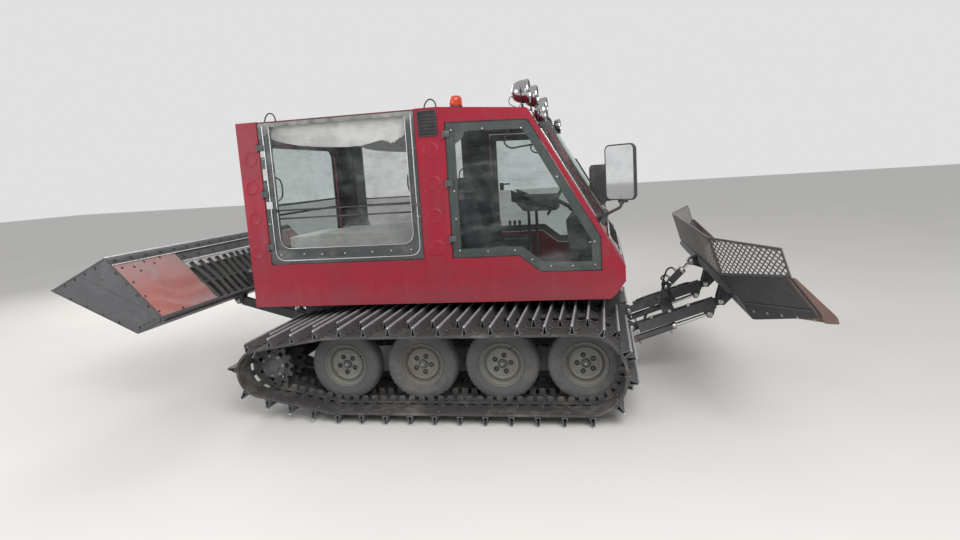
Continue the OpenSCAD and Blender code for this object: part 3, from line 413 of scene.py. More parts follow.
def weathered(name, colour, shade=0.8, dust=(0.3, 0.29, 0.27), dustShare=0.25, dustFoot=None, streak=0,
        scratch=0, scratchColour=(0.5, 0.5, 0.5), chips=0, rust=0, worn=None, roughness=0.5,
        roughSpread=0.2, grain=90, grainDepth=0.0004, dent=0, **constants):
    # Colour, cloudy shade, scratches, chips and rust, dust that gathers low down, and a fine and a broad bump
    f = Finish(name)
    cloud = f.noise(2.3, 5, 0.6)
    patches = f.noise(11, 5, 0.65)
    fine = f.noise(grain, 3)
    base = f.mix(f.ramp(cloud, 0.35, 0.68), colour, [c * shade for c in colour])
    base = f.mix(f.ramp(patches, 0.45, 0.75, 0, 0.5), base, [c * shade * 0.8 for c in colour])
    rough = roughness + (patches - 0.5) * roughSpread
    if streak:
        base = f.mix(f.ramp(f.noise(14, 4, 0.6, (1, 1, 0.06)), 0.52, 0.72, 0, streak), base, dust)
    if rust:
        spots = f.ramp(f.noise(7, 6, 0.7) + (fine - 0.5) * 0.25, 0.66 - 0.2 * rust, 0.74 - 0.15 * rust)
        base = f.mix(spots * 0.9, base, (0.13, 0.052, 0.024))
        rough = rough + spots * 0.25
    if scratch:
        marks = f.ramp(f.noise(30, 3, 0.6, (0.25, 1, 3)), 0.62, 0.7, 0, scratch)
        base = f.mix(marks, base, scratchColour)
    if chips:
        specks = f.ramp(f.cells(26), 0.05, 0.09, 1, 0) * f.ramp(f.noise(3, 3), 0.5, 0.62, 0, chips)
        base = f.mix(specks, base, (0.06, 0.05, 0.05))
    film = f.ramp(cloud + (patches - 0.5) * 0.7, 0.42, 0.78, 0, dustShare)
    if worn:
        wear = f.add("ShaderNodeAttribute", {"attribute_name": "wear"}, out="Fac")
        bare = f.ramp(wear + (patches - 0.5) * 0.6 + (fine - 0.5) * 0.4, 0.45, 0.7)
        base = f.mix(bare, base, worn)
        film = film * (1 - bare)
        rough = rough - bare * 0.1
    if dustFoot:
        film = film + f.ramp(f.height() + (patches - 0.5) * 0.25, *dustFoot, 0)
    base = f.mix(film, base, dust)
    rough = rough + film * 0.3
    bump = fine * grainDepth
    if dent:
        bump = bump + f.noise(3.1, 2) * dent
    return f.done(f.shader(base, rough, bump, 1.0, **constants))


# Finishes of the machine
bodyPaint = weathered("bodyPaint", (0.285, 0.006, 0.024), shade=0.82, dustShare=0.05,
    dustFoot=(0.86, 1.1, 0.08), streak=0.04, roughness=0.4, roughSpread=0.12, grain=160, grainDepth=0.00006,
    dent=0.0022, Coat_Weight=0.05, Specular_IOR_Level=0.38)
# The rear doors' frames turn pale grey in a band from 2.36 m up to their top edge
rearDoorPaint = weathered("rearDoorPaint", (0.07, 0.078, 0.08), dust=(0.5, 0.49, 0.46), dustShare=0.1,
    dustFoot=(2.485, 2.36, 0.8), roughness=0.42, grain=150, grainDepth=0.0001)
doorPaint = weathered("doorPaint", (0.07, 0.078, 0.08), dustShare=0.22, streak=0.1, roughness=0.42,
    grain=150, grainDepth=0.0001)
chassisPaint = weathered("chassisPaint", (0.042, 0.045, 0.052), shade=0.7, dust=(0.22, 0.215, 0.215),
    dustShare=0.4, dustFoot=(0.3, 0.75, 0.25), rust=0.15, roughness=0.6)
castMetal = weathered("castMetal", (0.065, 0.065, 0.066), shade=0.7, dustShare=0.4, rust=0.3, roughness=0.6,
    grain=120, grainDepth=0.0006, Metallic=0.4)
trackRubber = weathered("trackRubber", (0.055, 0.052, 0.052), shade=0.75, dust=(0.24, 0.225, 0.21),
    dustShare=0.55, roughness=0.75, grain=150, grainDepth=0.0005)
cleatMetal = weathered("cleatMetal", (0.13, 0.13, 0.138), shade=0.6, dust=(0.21, 0.205, 0.2),
    dustShare=0.45, scratch=0.4, scratchColour=(0.42, 0.42, 0.44), rust=0.12, worn=(0.5, 0.5, 0.52),
    roughness=0.55, grain=140, grainDepth=0.0003, Metallic=0.25)
tyreRubber = weathered("tyreRubber", (0.09, 0.091, 0.094), dust=(0.22, 0.21, 0.2), dustShare=0.5,
    roughness=0.78, grain=200, grainDepth=0.0003)
rimPaint = weathered("rimPaint", (0.19, 0.19, 0.172), shade=0.75, dust=(0.2, 0.17, 0.14), dustShare=0.45,
    rust=0.35, roughness=0.55, grain=120, grainDepth=0.0003)
bladeSteel = weathered("bladeSteel", (0.05, 0.052, 0.06), shade=0.6, dust=(0.17, 0.17, 0.18), scratch=0.3,
    scratchColour=(0.24, 0.24, 0.25), rust=0.22, roughness=0.45, grainDepth=0.0005, dent=0.002,
    Metallic=0.5)
endSteel = weathered("endSteel", (0.15, 0.09, 0.08), shade=0.6, dust=(0.26, 0.2, 0.19), dustShare=0.5,
    rust=0.3, roughness=0.65, grainDepth=0.0006, Metallic=0.2)
skidSteel = weathered("skidSteel", (0.06, 0.068, 0.064), shade=0.7, dustShare=0.3, roughness=0.55,
    grainDepth=0.0005)
# Painted highlight: the screen frames' steel is light and carries a heavy pale film, part dust and part
# painted sunlight on the bars
frameSteelPaintedSun = weathered("frameSteelPaintedSun", (0.27, 0.25, 0.24), shade=0.6, dust=(0.44, 0.41, 0.39), dustShare=0.6,
    rust=0.3, grainDepth=0.0005, Metallic=0.3)
edgeSteel = weathered("edgeSteel", (0.17, 0.11, 0.08), shade=0.7, scratch=0.5, rust=0.75, grainDepth=0.0006,
    Metallic=0.5)
treadMetal = weathered("treadMetal", (0.105, 0.105, 0.098), shade=0.6, dust=(0.24, 0.235, 0.215),
    dustShare=0.45, rust=0.3, roughness=0.6, grainDepth=0.0005, Metallic=0.2)
screenMetal = weathered("screenMetal", (0.19, 0.185, 0.18), shade=0.7, dustShare=0.3, rust=0.2,
    Metallic=0.5)
boardSteel = weathered("boardSteel", (0.1, 0.1, 0.108), shade=0.65, dust=(0.22, 0.215, 0.215),
    dustShare=0.35, scratch=0.15, rust=0.05, grainDepth=0.0005, dent=0.002, Metallic=0.4)
boardPaint = weathered("boardPaint", (0.5, 0.185, 0.165), dust=(0.44, 0.35, 0.36), dustShare=0.7,
    dustFoot=(1.34, 1.06, 0.55), scratch=0.35, scratchColour=(0.66, 0.5, 0.46), chips=0.1, rust=0.05,
    grainDepth=0.0002, dent=0.004)
trimMetal = weathered("trimMetal", (0.62, 0.62, 0.62), shade=0.85, dustShare=0.1, roughness=0.25,
    Metallic=1)
zincBolt = weathered("zincBolt", (0.45, 0.44, 0.42), dustShare=0.15, rust=0.1, roughness=0.35, Metallic=0.9)
blackBolt = weathered("blackBolt", (0.05, 0.05, 0.05), dustShare=0.3, Metallic=0.3)
chrome = weathered("chrome", (0.75, 0.75, 0.76), shade=0.9, dustShare=0.08, roughness=0.1, roughSpread=0.08,
    grainDepth=0.00003, Metallic=1)
lampChrome = weathered("lampChrome", (0.42, 0.42, 0.43), dustShare=0.12, roughness=0.16, roughSpread=0.1,
    grainDepth=0.00003, Metallic=1)
sealRubber = weathered("sealRubber", (0.018, 0.018, 0.018), dustShare=0.2, roughness=0.6)
hoseRubber = weathered("hoseRubber", (0.02, 0.02, 0.021), grain=300)
darkPlastic = weathered("darkPlastic", (0.03, 0.031, 0.033), grain=400, grainDepth=0.00015)
dashPlastic = weathered("dashPlastic", (0.035, 0.036, 0.04), dustShare=0.3, roughness=0.6, grain=420,
    grainDepth=0.0002)
palePlastic = weathered("palePlastic", (0.55, 0.55, 0.53), shade=0.85, dustShare=0.2)
headlining = weathered("headlining", (0.84, 0.84, 0.82), shade=0.85, dustShare=0.1, roughness=0.85,
    grain=300)
floorMat = weathered("floorMat", (0.05, 0.05, 0.052), dustShare=0.4, roughness=0.85, grain=250,
    grainDepth=0.0006)
coverMetal = weathered("coverMetal", (0.72, 0.73, 0.71), shade=0.85, dustShare=0.2, scratch=0.3,
    grainDepth=0.0002)


def clothFinish(name, colour, dark):
    # A woven seat cloth: two crossed waves of threads, worn paler where the cloud lies
    f = Finish(name)
    warp = f.add("ShaderNodeTexWave", {"bands_direction": "Y"},
        {"Vector": f.place, "Scale": 90.0, "Distortion": 0.4})
    weft = f.add("ShaderNodeTexWave", {"bands_direction": "Z"},
        {"Vector": f.place, "Scale": 90.0, "Distortion": 0.4})
    worn = f.ramp(f.noise(5, 4), 0.4, 0.7)
    base = f.mix(worn * 0.6, f.mix(warp * weft, dark, colour), [c * 1.35 for c in colour])
    return f.done(f.shader(base, 0.88, warp + weft, 0.0006))


seatCloth = clothFinish("seatCloth", (0.055, 0.06, 0.07), (0.02, 0.022, 0.028))


def glassFinish(name, tint, dirt, reflect=0.1):
    # Clear glass: light passes straight, a share is reflected, and dust lies on it in clouds and runs
    f = Finish(name)
    cloud = f.noise(2.6, 5, 0.65)
    wipes = f.noise(9, 4, 0.6, (0.4, 1, 1.6))
    film = f.ramp(cloud * 0.6 + wipes * 0.4, 0.42, 0.74, 0, dirt)
    clear = f.add("ShaderNodeBsdfTransparent", {}, {"Color": (*tint, 1.0)})
    gloss = f.shader(f.mix(film, (0.05, 0.055, 0.055), (0.88, 0.9, 0.92)), 0.04 + film * 0.5, IOR=1.5)
    share = film * 0.75 + reflect
    return f.done(f.add("ShaderNodeMixShader", {}, {0: share, 1: clear, 2: gloss}))


sideGlass = glassFinish("sideGlass", (0.98, 0.985, 0.985), 0.3, 0.08)
cabGlass = glassFinish("cabGlass", (0.95, 0.98, 0.975), 0.24, 0.1)
frontGlass = glassFinish("frontGlass", (0.9, 0.95, 0.94), 0.18)
mirrorSilver = weathered("mirrorSilver", (0.82, 0.83, 0.84), shade=0.97, dustShare=0.08, roughness=0.04,
    roughSpread=0.04, grainDepth=0, Metallic=1)
lensGlass = glassFinish("lensGlass", (0.9, 0.9, 0.9), 0.15, 0.25)


def amberFinish(name, colour):
    # Coloured plastic that glows a little where light comes through it
    f = Finish(name)
    base = f.mix(f.ramp(f.noise(20, 3), 0.4, 0.7), colour, [c * 0.7 for c in colour])
    return f.done(f.shader(base, 0.2 + f.noise(40) * 0.1, f.noise(60), 0.0004, Transmission_Weight=0.35,
        IOR=1.45, Coat_Weight=0.4))


beaconAmber = amberFinish("beaconAmber", (0.85, 0.075, 0.02))
beaconRed = amberFinish("beaconRed", (0.85, 0.03, 0.02))
print("finishes done")

# Camera where the photograph was taken from, and a plain studio
view = {"place": (1.1705 + ahead, -6.181, 1.9263), "yaw": -0.1976, "pitch": 0.1514, "roll": -0.0637,
    "lens": 23.72}


def aimedMatrix(place, yaw, pitch, roll):
    # Right, up and backward directions from three angles: yaw turns right from +Y, pitch looks down
    forward = np.array([math.sin(yaw), math.cos(yaw), 0]) * math.cos(pitch) - np.array(
        [0, 0, math.sin(pitch)])
    level = np.array([math.cos(yaw), -math.sin(yaw), 0])
    lift = np.cross(level, forward)
    right = level * math.cos(roll) + lift * math.sin(roll)
    up = lift * math.cos(roll) - level * math.sin(roll)
    m = Matrix(np.column_stack([right, up, -forward]).tolist()).to_4x4()
    m.translation = place
    return m


cameraData = bpy.data.cameras.new("camera")
cameraData.lens = view["lens"]
cameraData.sensor_width = 36
cameraData.sensor_fit = "HORIZONTAL"
cameraData.clip_end = 300
camera = bpy.data.objects.new("camera", cameraData)
camera.matrix_world = aimedMatrix(view["place"], view["yaw"], view["pitch"], view["roll"])
bpy.context.collection.objects.link(camera)
bpy.context.scene.camera = camera

studio = {"floor": (0.8, 0.79, 0.77), "ambient": 0.62, "backdrop": 0.94}
lamps = [{"name": "key", "place": (3.5, -7.5, 6.5), "size": 5.0, "power": 560, "colour": (1.0, 0.98, 0.95)},
    {"name": "back", "place": (-6.5, 5.5, 6.0), "size": 5.0, "power": 330, "colour": (1.0, 0.97, 0.93)},
    {"name": "side", "place": (-6.0, -6.0, 3.0), "size": 4.0, "power": 150, "colour": (0.95, 0.97, 1.0)}]


def makeStudio():
    # A white world that lights less than it shows, a pale floor and three soft lamps
    world = bpy.data.worlds.new("studio")
    bpy.context.scene.world = world
    f = Finish("studio", world)
    camera, glossy, through = (f.add("ShaderNodeLightPath", out=f"Is {ray} Ray")
        for ray in ("Camera", "Glossy", "Transmission"))
    seen = f.math("MAXIMUM", f.math("MAXIMUM", camera, glossy), through)
    strength = f.add("ShaderNodeMapRange", {}, {"Value": seen, "To Min": studio["ambient"],
        "To Max": studio["backdrop"]})
    f.add("ShaderNodeOutputWorld", {}, {0: f.add("ShaderNodeBackground", {}, {"Strength": strength})},
        out=None)
    f = Finish("floorPale")
    tint = f.mix(f.ramp(f.noise(0.6, 4), 0.3, 0.7), studio["floor"], [c * 0.97 for c in studio["floor"]])
    mesh = bpy.data.meshes.new("studioFloor")
    mesh.from_pydata([(-60, -60, 0), (60, -60, 0), (60, 60, 0), (-60, 60, 0)], [], [(0, 1, 2, 3)])
    mesh.materials.append(f.done(f.shader(tint, 0.9)))
    floor = bpy.data.objects.new("studioFloor", mesh)
    bpy.context.collection.objects.link(floor)
    for lamp in lamps:
        data = bpy.data.lights.new(lamp["name"], "AREA")
        data.size, data.energy, data.color = lamp["size"], lamp["power"], lamp["colour"]
        light = bpy.data.objects.new(lamp["name"], data)
        p = np.array(lamp["place"])
        d = unit(np.array([0, 0, 1.0]) - p)
        light.matrix_world = aimedMatrix(lamp["place"], math.atan2(d[0], d[1]), -math.asin(d[2]), 0)
        bpy.context.collection.objects.link(light)


makeStudio()
print("camera and studio done")


def dress(node, material):
    # A CAD node keeps its shape and takes a finish
    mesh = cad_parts[node].data
    mesh.materials.clear()
    mesh.materials.append(material)


def softened(node, material, width=0.003, body="machine", wide=None, wideWidth=0.009, flush=None):
    # A copy of a CAD node with rounded edges; wide picks edges for the larger round, flush edges stay sharp
    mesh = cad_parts[node].data.copy()
    work = bmesh.new()
    work.from_mesh(mesh)
    bmesh.ops.remove_doubles(work, verts=work.verts, dist=0.00005)
    bmesh.ops.dissolve_limit(work, angle_limit=math.radians(1.0), verts=work.verts, edges=work.edges)
    layer = work.edges.layers.float.new("bevel_weight_edge")
    for edge in work.edges:
        a, b = (v.co for v in edge.verts)
        middle = ((a + b) / 2).x - ahead, (a + b).y / 2, (a + b).z / 2
        sharp = len(edge.link_faces) == 2 and edge.calc_face_angle(0) > 0.7
        share = 1.0 if wide and wide(*middle) else width / wideWidth
        edge[layer] = share if sharp and not (flush and flush(*middle)) else 0.0
    work.to_mesh(mesh)
    work.free()
    mesh.materials.clear()
    mesh.materials.append(material)
    piece = bpy.data.objects.new(node + "_shape", mesh)
    bpy.context.collection.objects.link(piece)
    bevel = piece.modifiers.new("edge", "BEVEL")
    bevel.width, bevel.segments, bevel.limit_method = wideWidth, 2, "WEIGHT"
    mesh.shade_smooth()
    mesh.set_sharp_from_angle(angle=math.radians(35))
    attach(piece, body)
    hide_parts(node)


# Running gear
gear = {"wheelXs": (-0.9975, -0.3325, 0.3325, 0.9975), "wheelZ": 0.4, "wheelR": 0.3, "wheelY": 1.29,
    "sprocket": (-1.63, 0.42), "sprocketR": 0.185, "beltThick": 0.02,
    "belts": ((0.57, 0.76), (0.86, 1.05), (1.19, 1.39), (1.45, 1.65)), "cleats": 68, "start": 0.165,
    "cleatIn": 0.56, "longEnd": 1.66, "shortEnd": 1.44, "horns": 84, "hornYs": (-1.3835, -1.1965),
    "boltX": 0.0275, "boltY": 0.06}


def trackLine(n=900):
    # Middle line of the belts from the sprocket's top forward in equal steps, with tangent, normal and length
    sx, sz = gear["sprocket"]
    first, last, z, r = gear["wheelXs"][0], gear["wheelXs"][-1], gear["wheelZ"], gear["wheelR"]
    d = math.hypot(first - sx, z - sz)
    base, spread = math.atan2(z - sz, first - sx), math.asin((r - gear["sprocketR"]) / d)
    over, under, q = base + spread, base - spread, math.pi / 2
    parts = []
    for cx, cz, cr, a0, a1 in ((first, z, r, q + over, q), (last, z, r, q, -q),
            (first, z, r, -q, under - q), (sx, sz, gear["sprocketR"], under - q, over - 3 * q)):
        a = np.linspace(a0, a1, 120)
        cr += gear["beltThick"] / 2
        parts.append(np.column_stack([cx + cr * np.cos(a), cz + cr * np.sin(a)]))
    p = np.concatenate([parts[3][-1:]] + parts)
    s = np.concatenate([[0], np.cumsum(np.hypot(*np.diff(p, axis=0).T))])
    even = np.linspace(0, s[-1], n, endpoint=False)
    x, h = np.interp(even, s, p[:, 0]), np.interp(even, s, p[:, 1])
    line = np.column_stack([x, 0 * x, h])
    t = unit(np.roll(line, -1, 0) - np.roll(line, 1, 0))
    return line, t, np.column_stack([-t[:, 2], 0 * x, t[:, 0]]), s[-1]


def alongTrack(s, lift=0.0, y=0.0):
    # Frames at distances s along the belts' middle: X along, Y across, Z outwards
    line, t, n, total = trackLine(2400)
    k = (np.asarray(s) / total * len(line)).astype(int) % len(line)
    return framesAt(line[k] + n[k] * lift + [0, y, 0], t[k], (0, 1, 0), n[k])


def beltForm(y0, y1):
    # A rounded flat section carried round the closed line
    line, n = trackLine(260)[::2]
    o = roundRect(y1 - y0, gear["beltThick"], 0.006, 3)
    o[:, 0] -= (y0 + y1) / 2
    p = line[:, None] + o[None, :, 1:] * n[:, None] + o[None, :, :1] * np.array([0, 1, 0])
    return gridForm(p, closeU=True, closeV=True)


def cleatForm(outEnd):
    # A hollow bar of keyhole section: four loops, outer and inner at either end
    half = np.array([(0.0235, 0), (0.0235, 0.007), (0.0165, 0.022), (0.0115, 0.045), (0.0095, 0.066),
        (0.006, 0.0765)])
    hole = np.array([(0.0165, 0.006), (0.015, 0.011), (0.0105, 0.022), (0.0065, 0.04), (0.004, 0.056),
        (0.002, 0.064)])
    outer, inner = (np.concatenate([h, [(0, top)], h[::-1] * [-1, 1]])
        for h, top in ((half, 0.0795), (hole, 0.066)))
    rows = [np.column_stack([loop[:, 0], np.full(len(loop), -y), loop[:, 1]])
        for loop, y in ((outer, gear["cleatIn"]), (outer, outEnd), (inner, outEnd),
        (inner, gear["cleatIn"]))]
    return gridForm(np.stack(rows), closeU=True, closeV=True)


def upsideDown(form):
    # The same with Z negated
    return flipped((form[0] * [1, 1, -1], form[1]))


def makeTrack(side):
    # Belts, hollow cleats with their foot plates and bolts, and guide horns, mirrored for the left side
    total, top, dx = trackLine()[3], gear["beltThick"] / 2, gear["boltX"]
    s = gear["start"] + np.arange(gear["cleats"]) * (total / gear["cleats"])
    cleats = joined(repeated(cleatForm(gear["longEnd"]), alongTrack(s[0::2], top)),
        repeated(cleatForm(gear["shortEnd"]), alongTrack(s[1::2], top)))
    plate = slab(roundRect(0.066, 0.15, 0.008, 2), [(0, 0), (0.003, 0), (0.004, 0.001)])
    head = hexHead(0.0075, 0.006, washer=False)
    plates, heads = [], []
    for k, (y0, y1) in enumerate(gear["belts"]):
        # Only the long cleats reach the outermost belt
        at, y = s[0::2] if k == 3 else s, -(y0 + y1) / 2
        plates.append(repeated(plate, alongTrack(at, top - 0.001, y)))
        for dy in (-gear["boltY"], gear["boltY"]):
            heads += [repeated(head, alongTrack(at + d, top + 0.003, y + dy)) for d in (-dx, dx)]
            heads.append(repeated(upsideDown(head), alongTrack(at - dx, -top, y + dy)))
    horn = upsideDown(slab([(-0.026, -0.007), (0.026, -0.007), (0.026, 0.007), (-0.026, 0.007)],
        [(0, 0), (0.02, 0), (0.045, 0.0035), (0.05, 0.006)]))
    at = np.arange(gear["horns"]) * total / gear["horns"]
    horns = joined(*[repeated(horn, alongTrack(at, -top + 0.001, y)) for y in gear["hornYs"]])
    # Worn from 5 cm above the belt to 8 cm
    wear = np.clip((np.tile(cleatForm(1)[0][:, 2], gear["cleats"]) - 0.05) / 0.03, 0, 1)
    belts = joined(*[beltForm(*b) for b in gear["belts"]])
    makePiece("belts_" + side, onSide(belts, side), trackRubber, replaces="track_" + side)
    makePiece("cleats_" + side, onSide(cleats, side), cleatMetal, wear=wear)
    for name, form, material in (("guide_horns_", horns, castMetal),
            ("belt_plates_", joined(*plates), castMetal), ("belt_bolts_", joined(*heads), zincBolt)):
        makePiece(name + side, onSide(form, side), material)


for side in ("right", "left"):
    makeTrack(side)
print("tracks done")

tyre = {"profile": ((0.183, 0.066), (0.19, 0.072), (0.205, 0.0745), (0.232, 0.0785), (0.236, 0.0795),
    (0.24, 0.0785), (0.262, 0.0775), (0.28, 0.0705), (0.2905, 0.0635), (0.2955, 0.0545), (0.2975, 0.0475),
    (0.2915, 0.0465), (0.2915, 0.0415), (0.298, 0.0405), (0.299, 0.0215), (0.2925, 0.0205),
    (0.2925, 0.0155), (0.2993, 0.0145)), "blocks": 40}


def tyreForm():
    # A half profile mirrored and turned round; every third step of the shoulder sinks to part its blocks
    half = np.array(tyre["profile"])
    profile = np.concatenate([half, half[::-1] * [1, -1]])
    steps = tyre["blocks"] * 3
    a = np.linspace(0, 2 * math.pi, steps, endpoint=False)
    shoulder = (profile[:, :1] > 0.275) & (abs(profile[:, 1:]) > 0.047)
    sink = shoulder & (np.arange(steps) % 3 == 0)
    r = profile[:, :1] - 0.006 * sink
    p = np.stack([r * np.cos(a), r * np.sin(a), profile[:, 1:] + 0 * a], -1)
    return gridForm(p, closeU=True, closeV=True)


def holedPlate(outline, holes, low, high):
    # A plate with holes: both faces as triangles between the loops, and a wall along each loop
    loops = [np.round(np.asarray(q, float), 5) for q in [outline] + list(holes)]
    start = np.cumsum([0] + [len(q) for q in loops])
    flat = np.concatenate(loops)
    rings = [list(range(a, b)) for a, b in zip(start[:-1], start[1:])]
    found = delaunay_2d_cdt([Vector(q) for q in flat], [], rings, 2, 1e-6)
    tri = np.array([f for f in found[2] if len(f) == 3])
    p2 = np.array([tuple(v) for v in found[0]])
    n = len(p2)
    back = {tuple(np.round(q, 5)): k for k, q in enumerate(p2)}
    walls = []
    for loop in loops:
        k = np.array([back[tuple(np.round(q, 5))] for q in loop])
        k2 = np.roll(k, -1)
        walls.append(np.column_stack([k, k2, k2 + n, k + n]))
    points = np.concatenate([np.column_stack([p2, np.full(n, low)]), np.column_stack([p2, np.full(n, high)])])
    return points, [tri[:, ::-1], tri + n, np.concatenate(walls)]


rim = {"ring": ((0.182, 0.0695), (0.1795, 0.0725), (0.1755, 0.0715), (0.1705, 0.064), (0.168, 0.05),
    (0.16, 0.0445), (0.1505, 0.03), (0.147, 0.012), (0.14, 0.0145), (0.1335, 0.024), (0.1265, 0.0305),
    (0.1195, 0.0295), (0.1145, 0.0255), (0.108, 0.0245), (0.108, 0.0195), (0.118, 0.0205), (0.128, 0.0215),
    (0.138, 0.008), (0.143, 0.004), (0.143, -0.03), (0.164, -0.052), (0.17, -0.066), (0.175, -0.0725),
    (0.182, -0.069), (0.182, -0.066), (0.1755, -0.066), (0.171, -0.05), (0.1815, -0.045), (0.1815, 0.045),
    (0.1775, 0.06)), "lugs": 5, "lugAt": 0.069, "lugR": 0.0225, "hubR": 0.0385,
    "turns": (0.3, 1.9, 0.85, 2.6)}


def rimForms():
    # The rim's ring, its flat disc with five holes, and the hub with nuts and a greased cap
    turns = np.arange(rim["lugs"]) * 2 * math.pi / rim["lugs"] + 0.5
    lugs = rim["lugAt"] * np.column_stack([np.cos(turns), np.sin(turns)])
    disc = holedPlate(circle(0.1085, 64), [circle(rim["lugR"], 16, *p) for p in lugs]
        + [circle(rim["hubR"], 24)], 0.0195, 0.0245)
    # A raised bead round the disc and a second one on the dish catch the light as rings
    beads = [lathe([(r + 0.0035, z), (r + 0.002, z + 0.003), (r - 0.002, z + 0.003), (r - 0.0035, z)], 64,
        ring=True) for r, z in ((0.101, 0.0235), (0.1265, 0.0292))]
    hub = lathe([(0, -0.02), (0.115, -0.02), (0.115, -0.004), (0.1, 0.002), (0.05, 0.004), (0.0375, 0.01),
        (0.035, 0.034), (0.028, 0.043), (0.02, 0.046), (0.0115, 0.0465), (0, 0.0465)], 32)
    nuts = placed(hexHead(0.01, 0.014, False), [(*p, 0.008) for p in lugs])
    cap = lathe([(0, 0.046), (0.0105, 0.046), (0.0085, 0.05), (0, 0.051)], 16)
    valve = tube(curveThrough([(0.15, 0.03, 0.028), (0.146, 0.031, 0.045), (0.139, 0.032, 0.058)], 8),
        0.004, 8)
    return joined(lathe(rim["ring"], 64, ring=True), disc, *beads), joined(hub, nuts), cap, valve


def makeWheels():
    # Both sides at once; the local axis looks outwards, and each wheel is turned by a different angle
    rimForm, hubForm, capForm, valveForm = rimForms()
    c, s = np.cos(rim["turns"]), np.sin(rim["turns"])
    frames = framesAt([(x, -gear["wheelY"], gear["wheelZ"]) for x in gear["wheelXs"]],
        np.column_stack([c, 0 * c, s]), np.column_stack([-s, 0 * c, c]), (0, -1, 0))
    for name, form, material, slot, node in (("tyre_set", tyreForm(), tyreRubber, "tyre", "tyres"),
            ("rim_set", rimForm, rimPaint, "rim_paint", "rims"),
            ("hub_set", hubForm, chassisPaint, "chassis_paint", None),
            ("hub_caps", capForm, zincBolt, "cast", None),
            ("tyre_valves", valveForm, sealRubber, "tyre", None)):
        makePiece(name, bothSides(repeated(form, frames)), material, replaces=node)


def makeSprockets():
    # Two toothed rings on a drum with bolted flanges, a dished outer web and a hub cap
    (x, z), teeth = gear["sprocket"], 14
    turns = np.arange(teeth) * 2 * math.pi / teeth
    tooth = [(0.155, -0.3), (0.172, -0.26), (0.1835, -0.13), (0.1845, 0), (0.1835, 0.13), (0.172, 0.26),
        (0.155, 0.3), (0.152, 0.5)]
    outline = np.array([(r * math.cos(t + o * turns[1]), r * math.sin(t + o * turns[1])) for t in turns
        for r, o in tooth])
    windows = [circle(0.021, 14, *p) for p in circle(0.122, 7)]
    plate = holedPlate(outline, windows + [circle(0.085, 28)], 0, 0.014)
    drum = lathe([(0, -0.12), (0.095, -0.12), (0.095, 0.112), (0.106, 0.116), (0.106, 0.128),
        (0.062, 0.131), (0.056, 0.142), (0.03, 0.146), (0, 0.146)], 40)
    heads = placed(hexHead(0.01, 0.008), [(*p, 0.1275) for p in circle(0.088, 7)])
    for name, form, material, slot, node in (("sprocket_rings",
            placed(plate, [(0, 0, 0.106), (0, 0, -0.134)]), castMetal, "cast", "sprockets"),
            ("sprocket_drums", drum, chassisPaint, "chassis_paint", None),
            ("sprocket_bolts", heads, zincBolt, "cast", None)):
        makePiece(name, bothSides(placed(form, (x, -gear["wheelY"], z), *toRight)), material,
            replaces=node)


makeWheels()
makeSprockets()
print("wheels done")

# Body: welded sheet walls, roof and front; the walls and front have rounded outer edges, the roof and the
# edges along it stay sharp
body = {"rear": -1.925, "low": 0.86, "roof": 2.48, "kink": -0.137, "front": 0.601, "frontZ": 2.419,
    "nose": (1.332, 1.125), "noseLow": (1.332, 1.004), "chin": ((1.259, 0.905), (1.209, 0.86))}
sideLine = np.array([(body["rear"], body["low"]), (body["rear"], body["roof"]),
    (body["kink"], body["roof"]), (body["front"], body["frontZ"]), body["nose"], body["noseLow"],
    *body["chin"]])
skin = -1.0748  # y of fittings on the right side, a little inside the sheets' outer face so that they sink in


def onSideLine(x, z):
    # True within 4 mm of the outline of the side walls, as the distance to the nearest of its straight pieces
    a, b = sideLine, np.roll(sideLine, -1, 0)
    d = b - a
    t = np.clip(((np.array([x, z]) - a) * d).sum(1) / (d ** 2).sum(1), 0, 1)
    return bool((np.hypot(*(a + d * t[:, None] - [x, z]).T) < 0.004).any())


def outerCorner(x, y, z):
    # The visible outer edge of a side wall
    return abs(y) > 1.07 and onSideLine(x, z)


def innerSeam(x, y, z):
    # The hidden edge where a side wall meets roof, rear and front
    return 1.02 < abs(y) < 1.05 and onSideLine(x, z)


for side in ("right", "left"):
    softened("side_wall_" + side, bodyPaint, 0.0025, wide=outerCorner, wideWidth=0.012,
        flush=innerSeam)
softened("roof", bodyPaint, 0.002, flush=lambda x, y, z: True)
softened("rear_wall", bodyPaint, flush=lambda x, y, z: abs(y) > 1.03 or z > 2.43)
softened("front_panel", bodyPaint, flush=lambda x, y, z: abs(y) > 1.03 or z > 2.38)
softened("cab_floor", floorMat)
print("walls done")

roofFall = (body["roof"] - body["frontZ"]) / (body["front"] - body["kink"])
slopeDown = unit((body["nose"][0] - body["front"], 0, body["nose"][1] - body["frontZ"]))
slopeOut = np.array([-slopeDown[2], 0, slopeDown[0]])
onFront = (slopeDown, (0, 1, 0), slopeOut)  # axes of a fitting on the sloping front


def roofTop(x):
    # Height of the roof, flat to the kink and falling ahead of it
    return body["roof"] - max(0, x - body["kink"]) * roofFall


def slope(s, up=0.0, y=0.0):
    # A point on the sloping front, s metres down it and up metres off it
    return np.array([body["front"], y, body["frontZ"]]) + slopeDown * s + slopeOut * up


vent = {"middle": (-0.214, 2.354), "size": (0.165, 0.212), "slats": 7, "slant": 0.6}


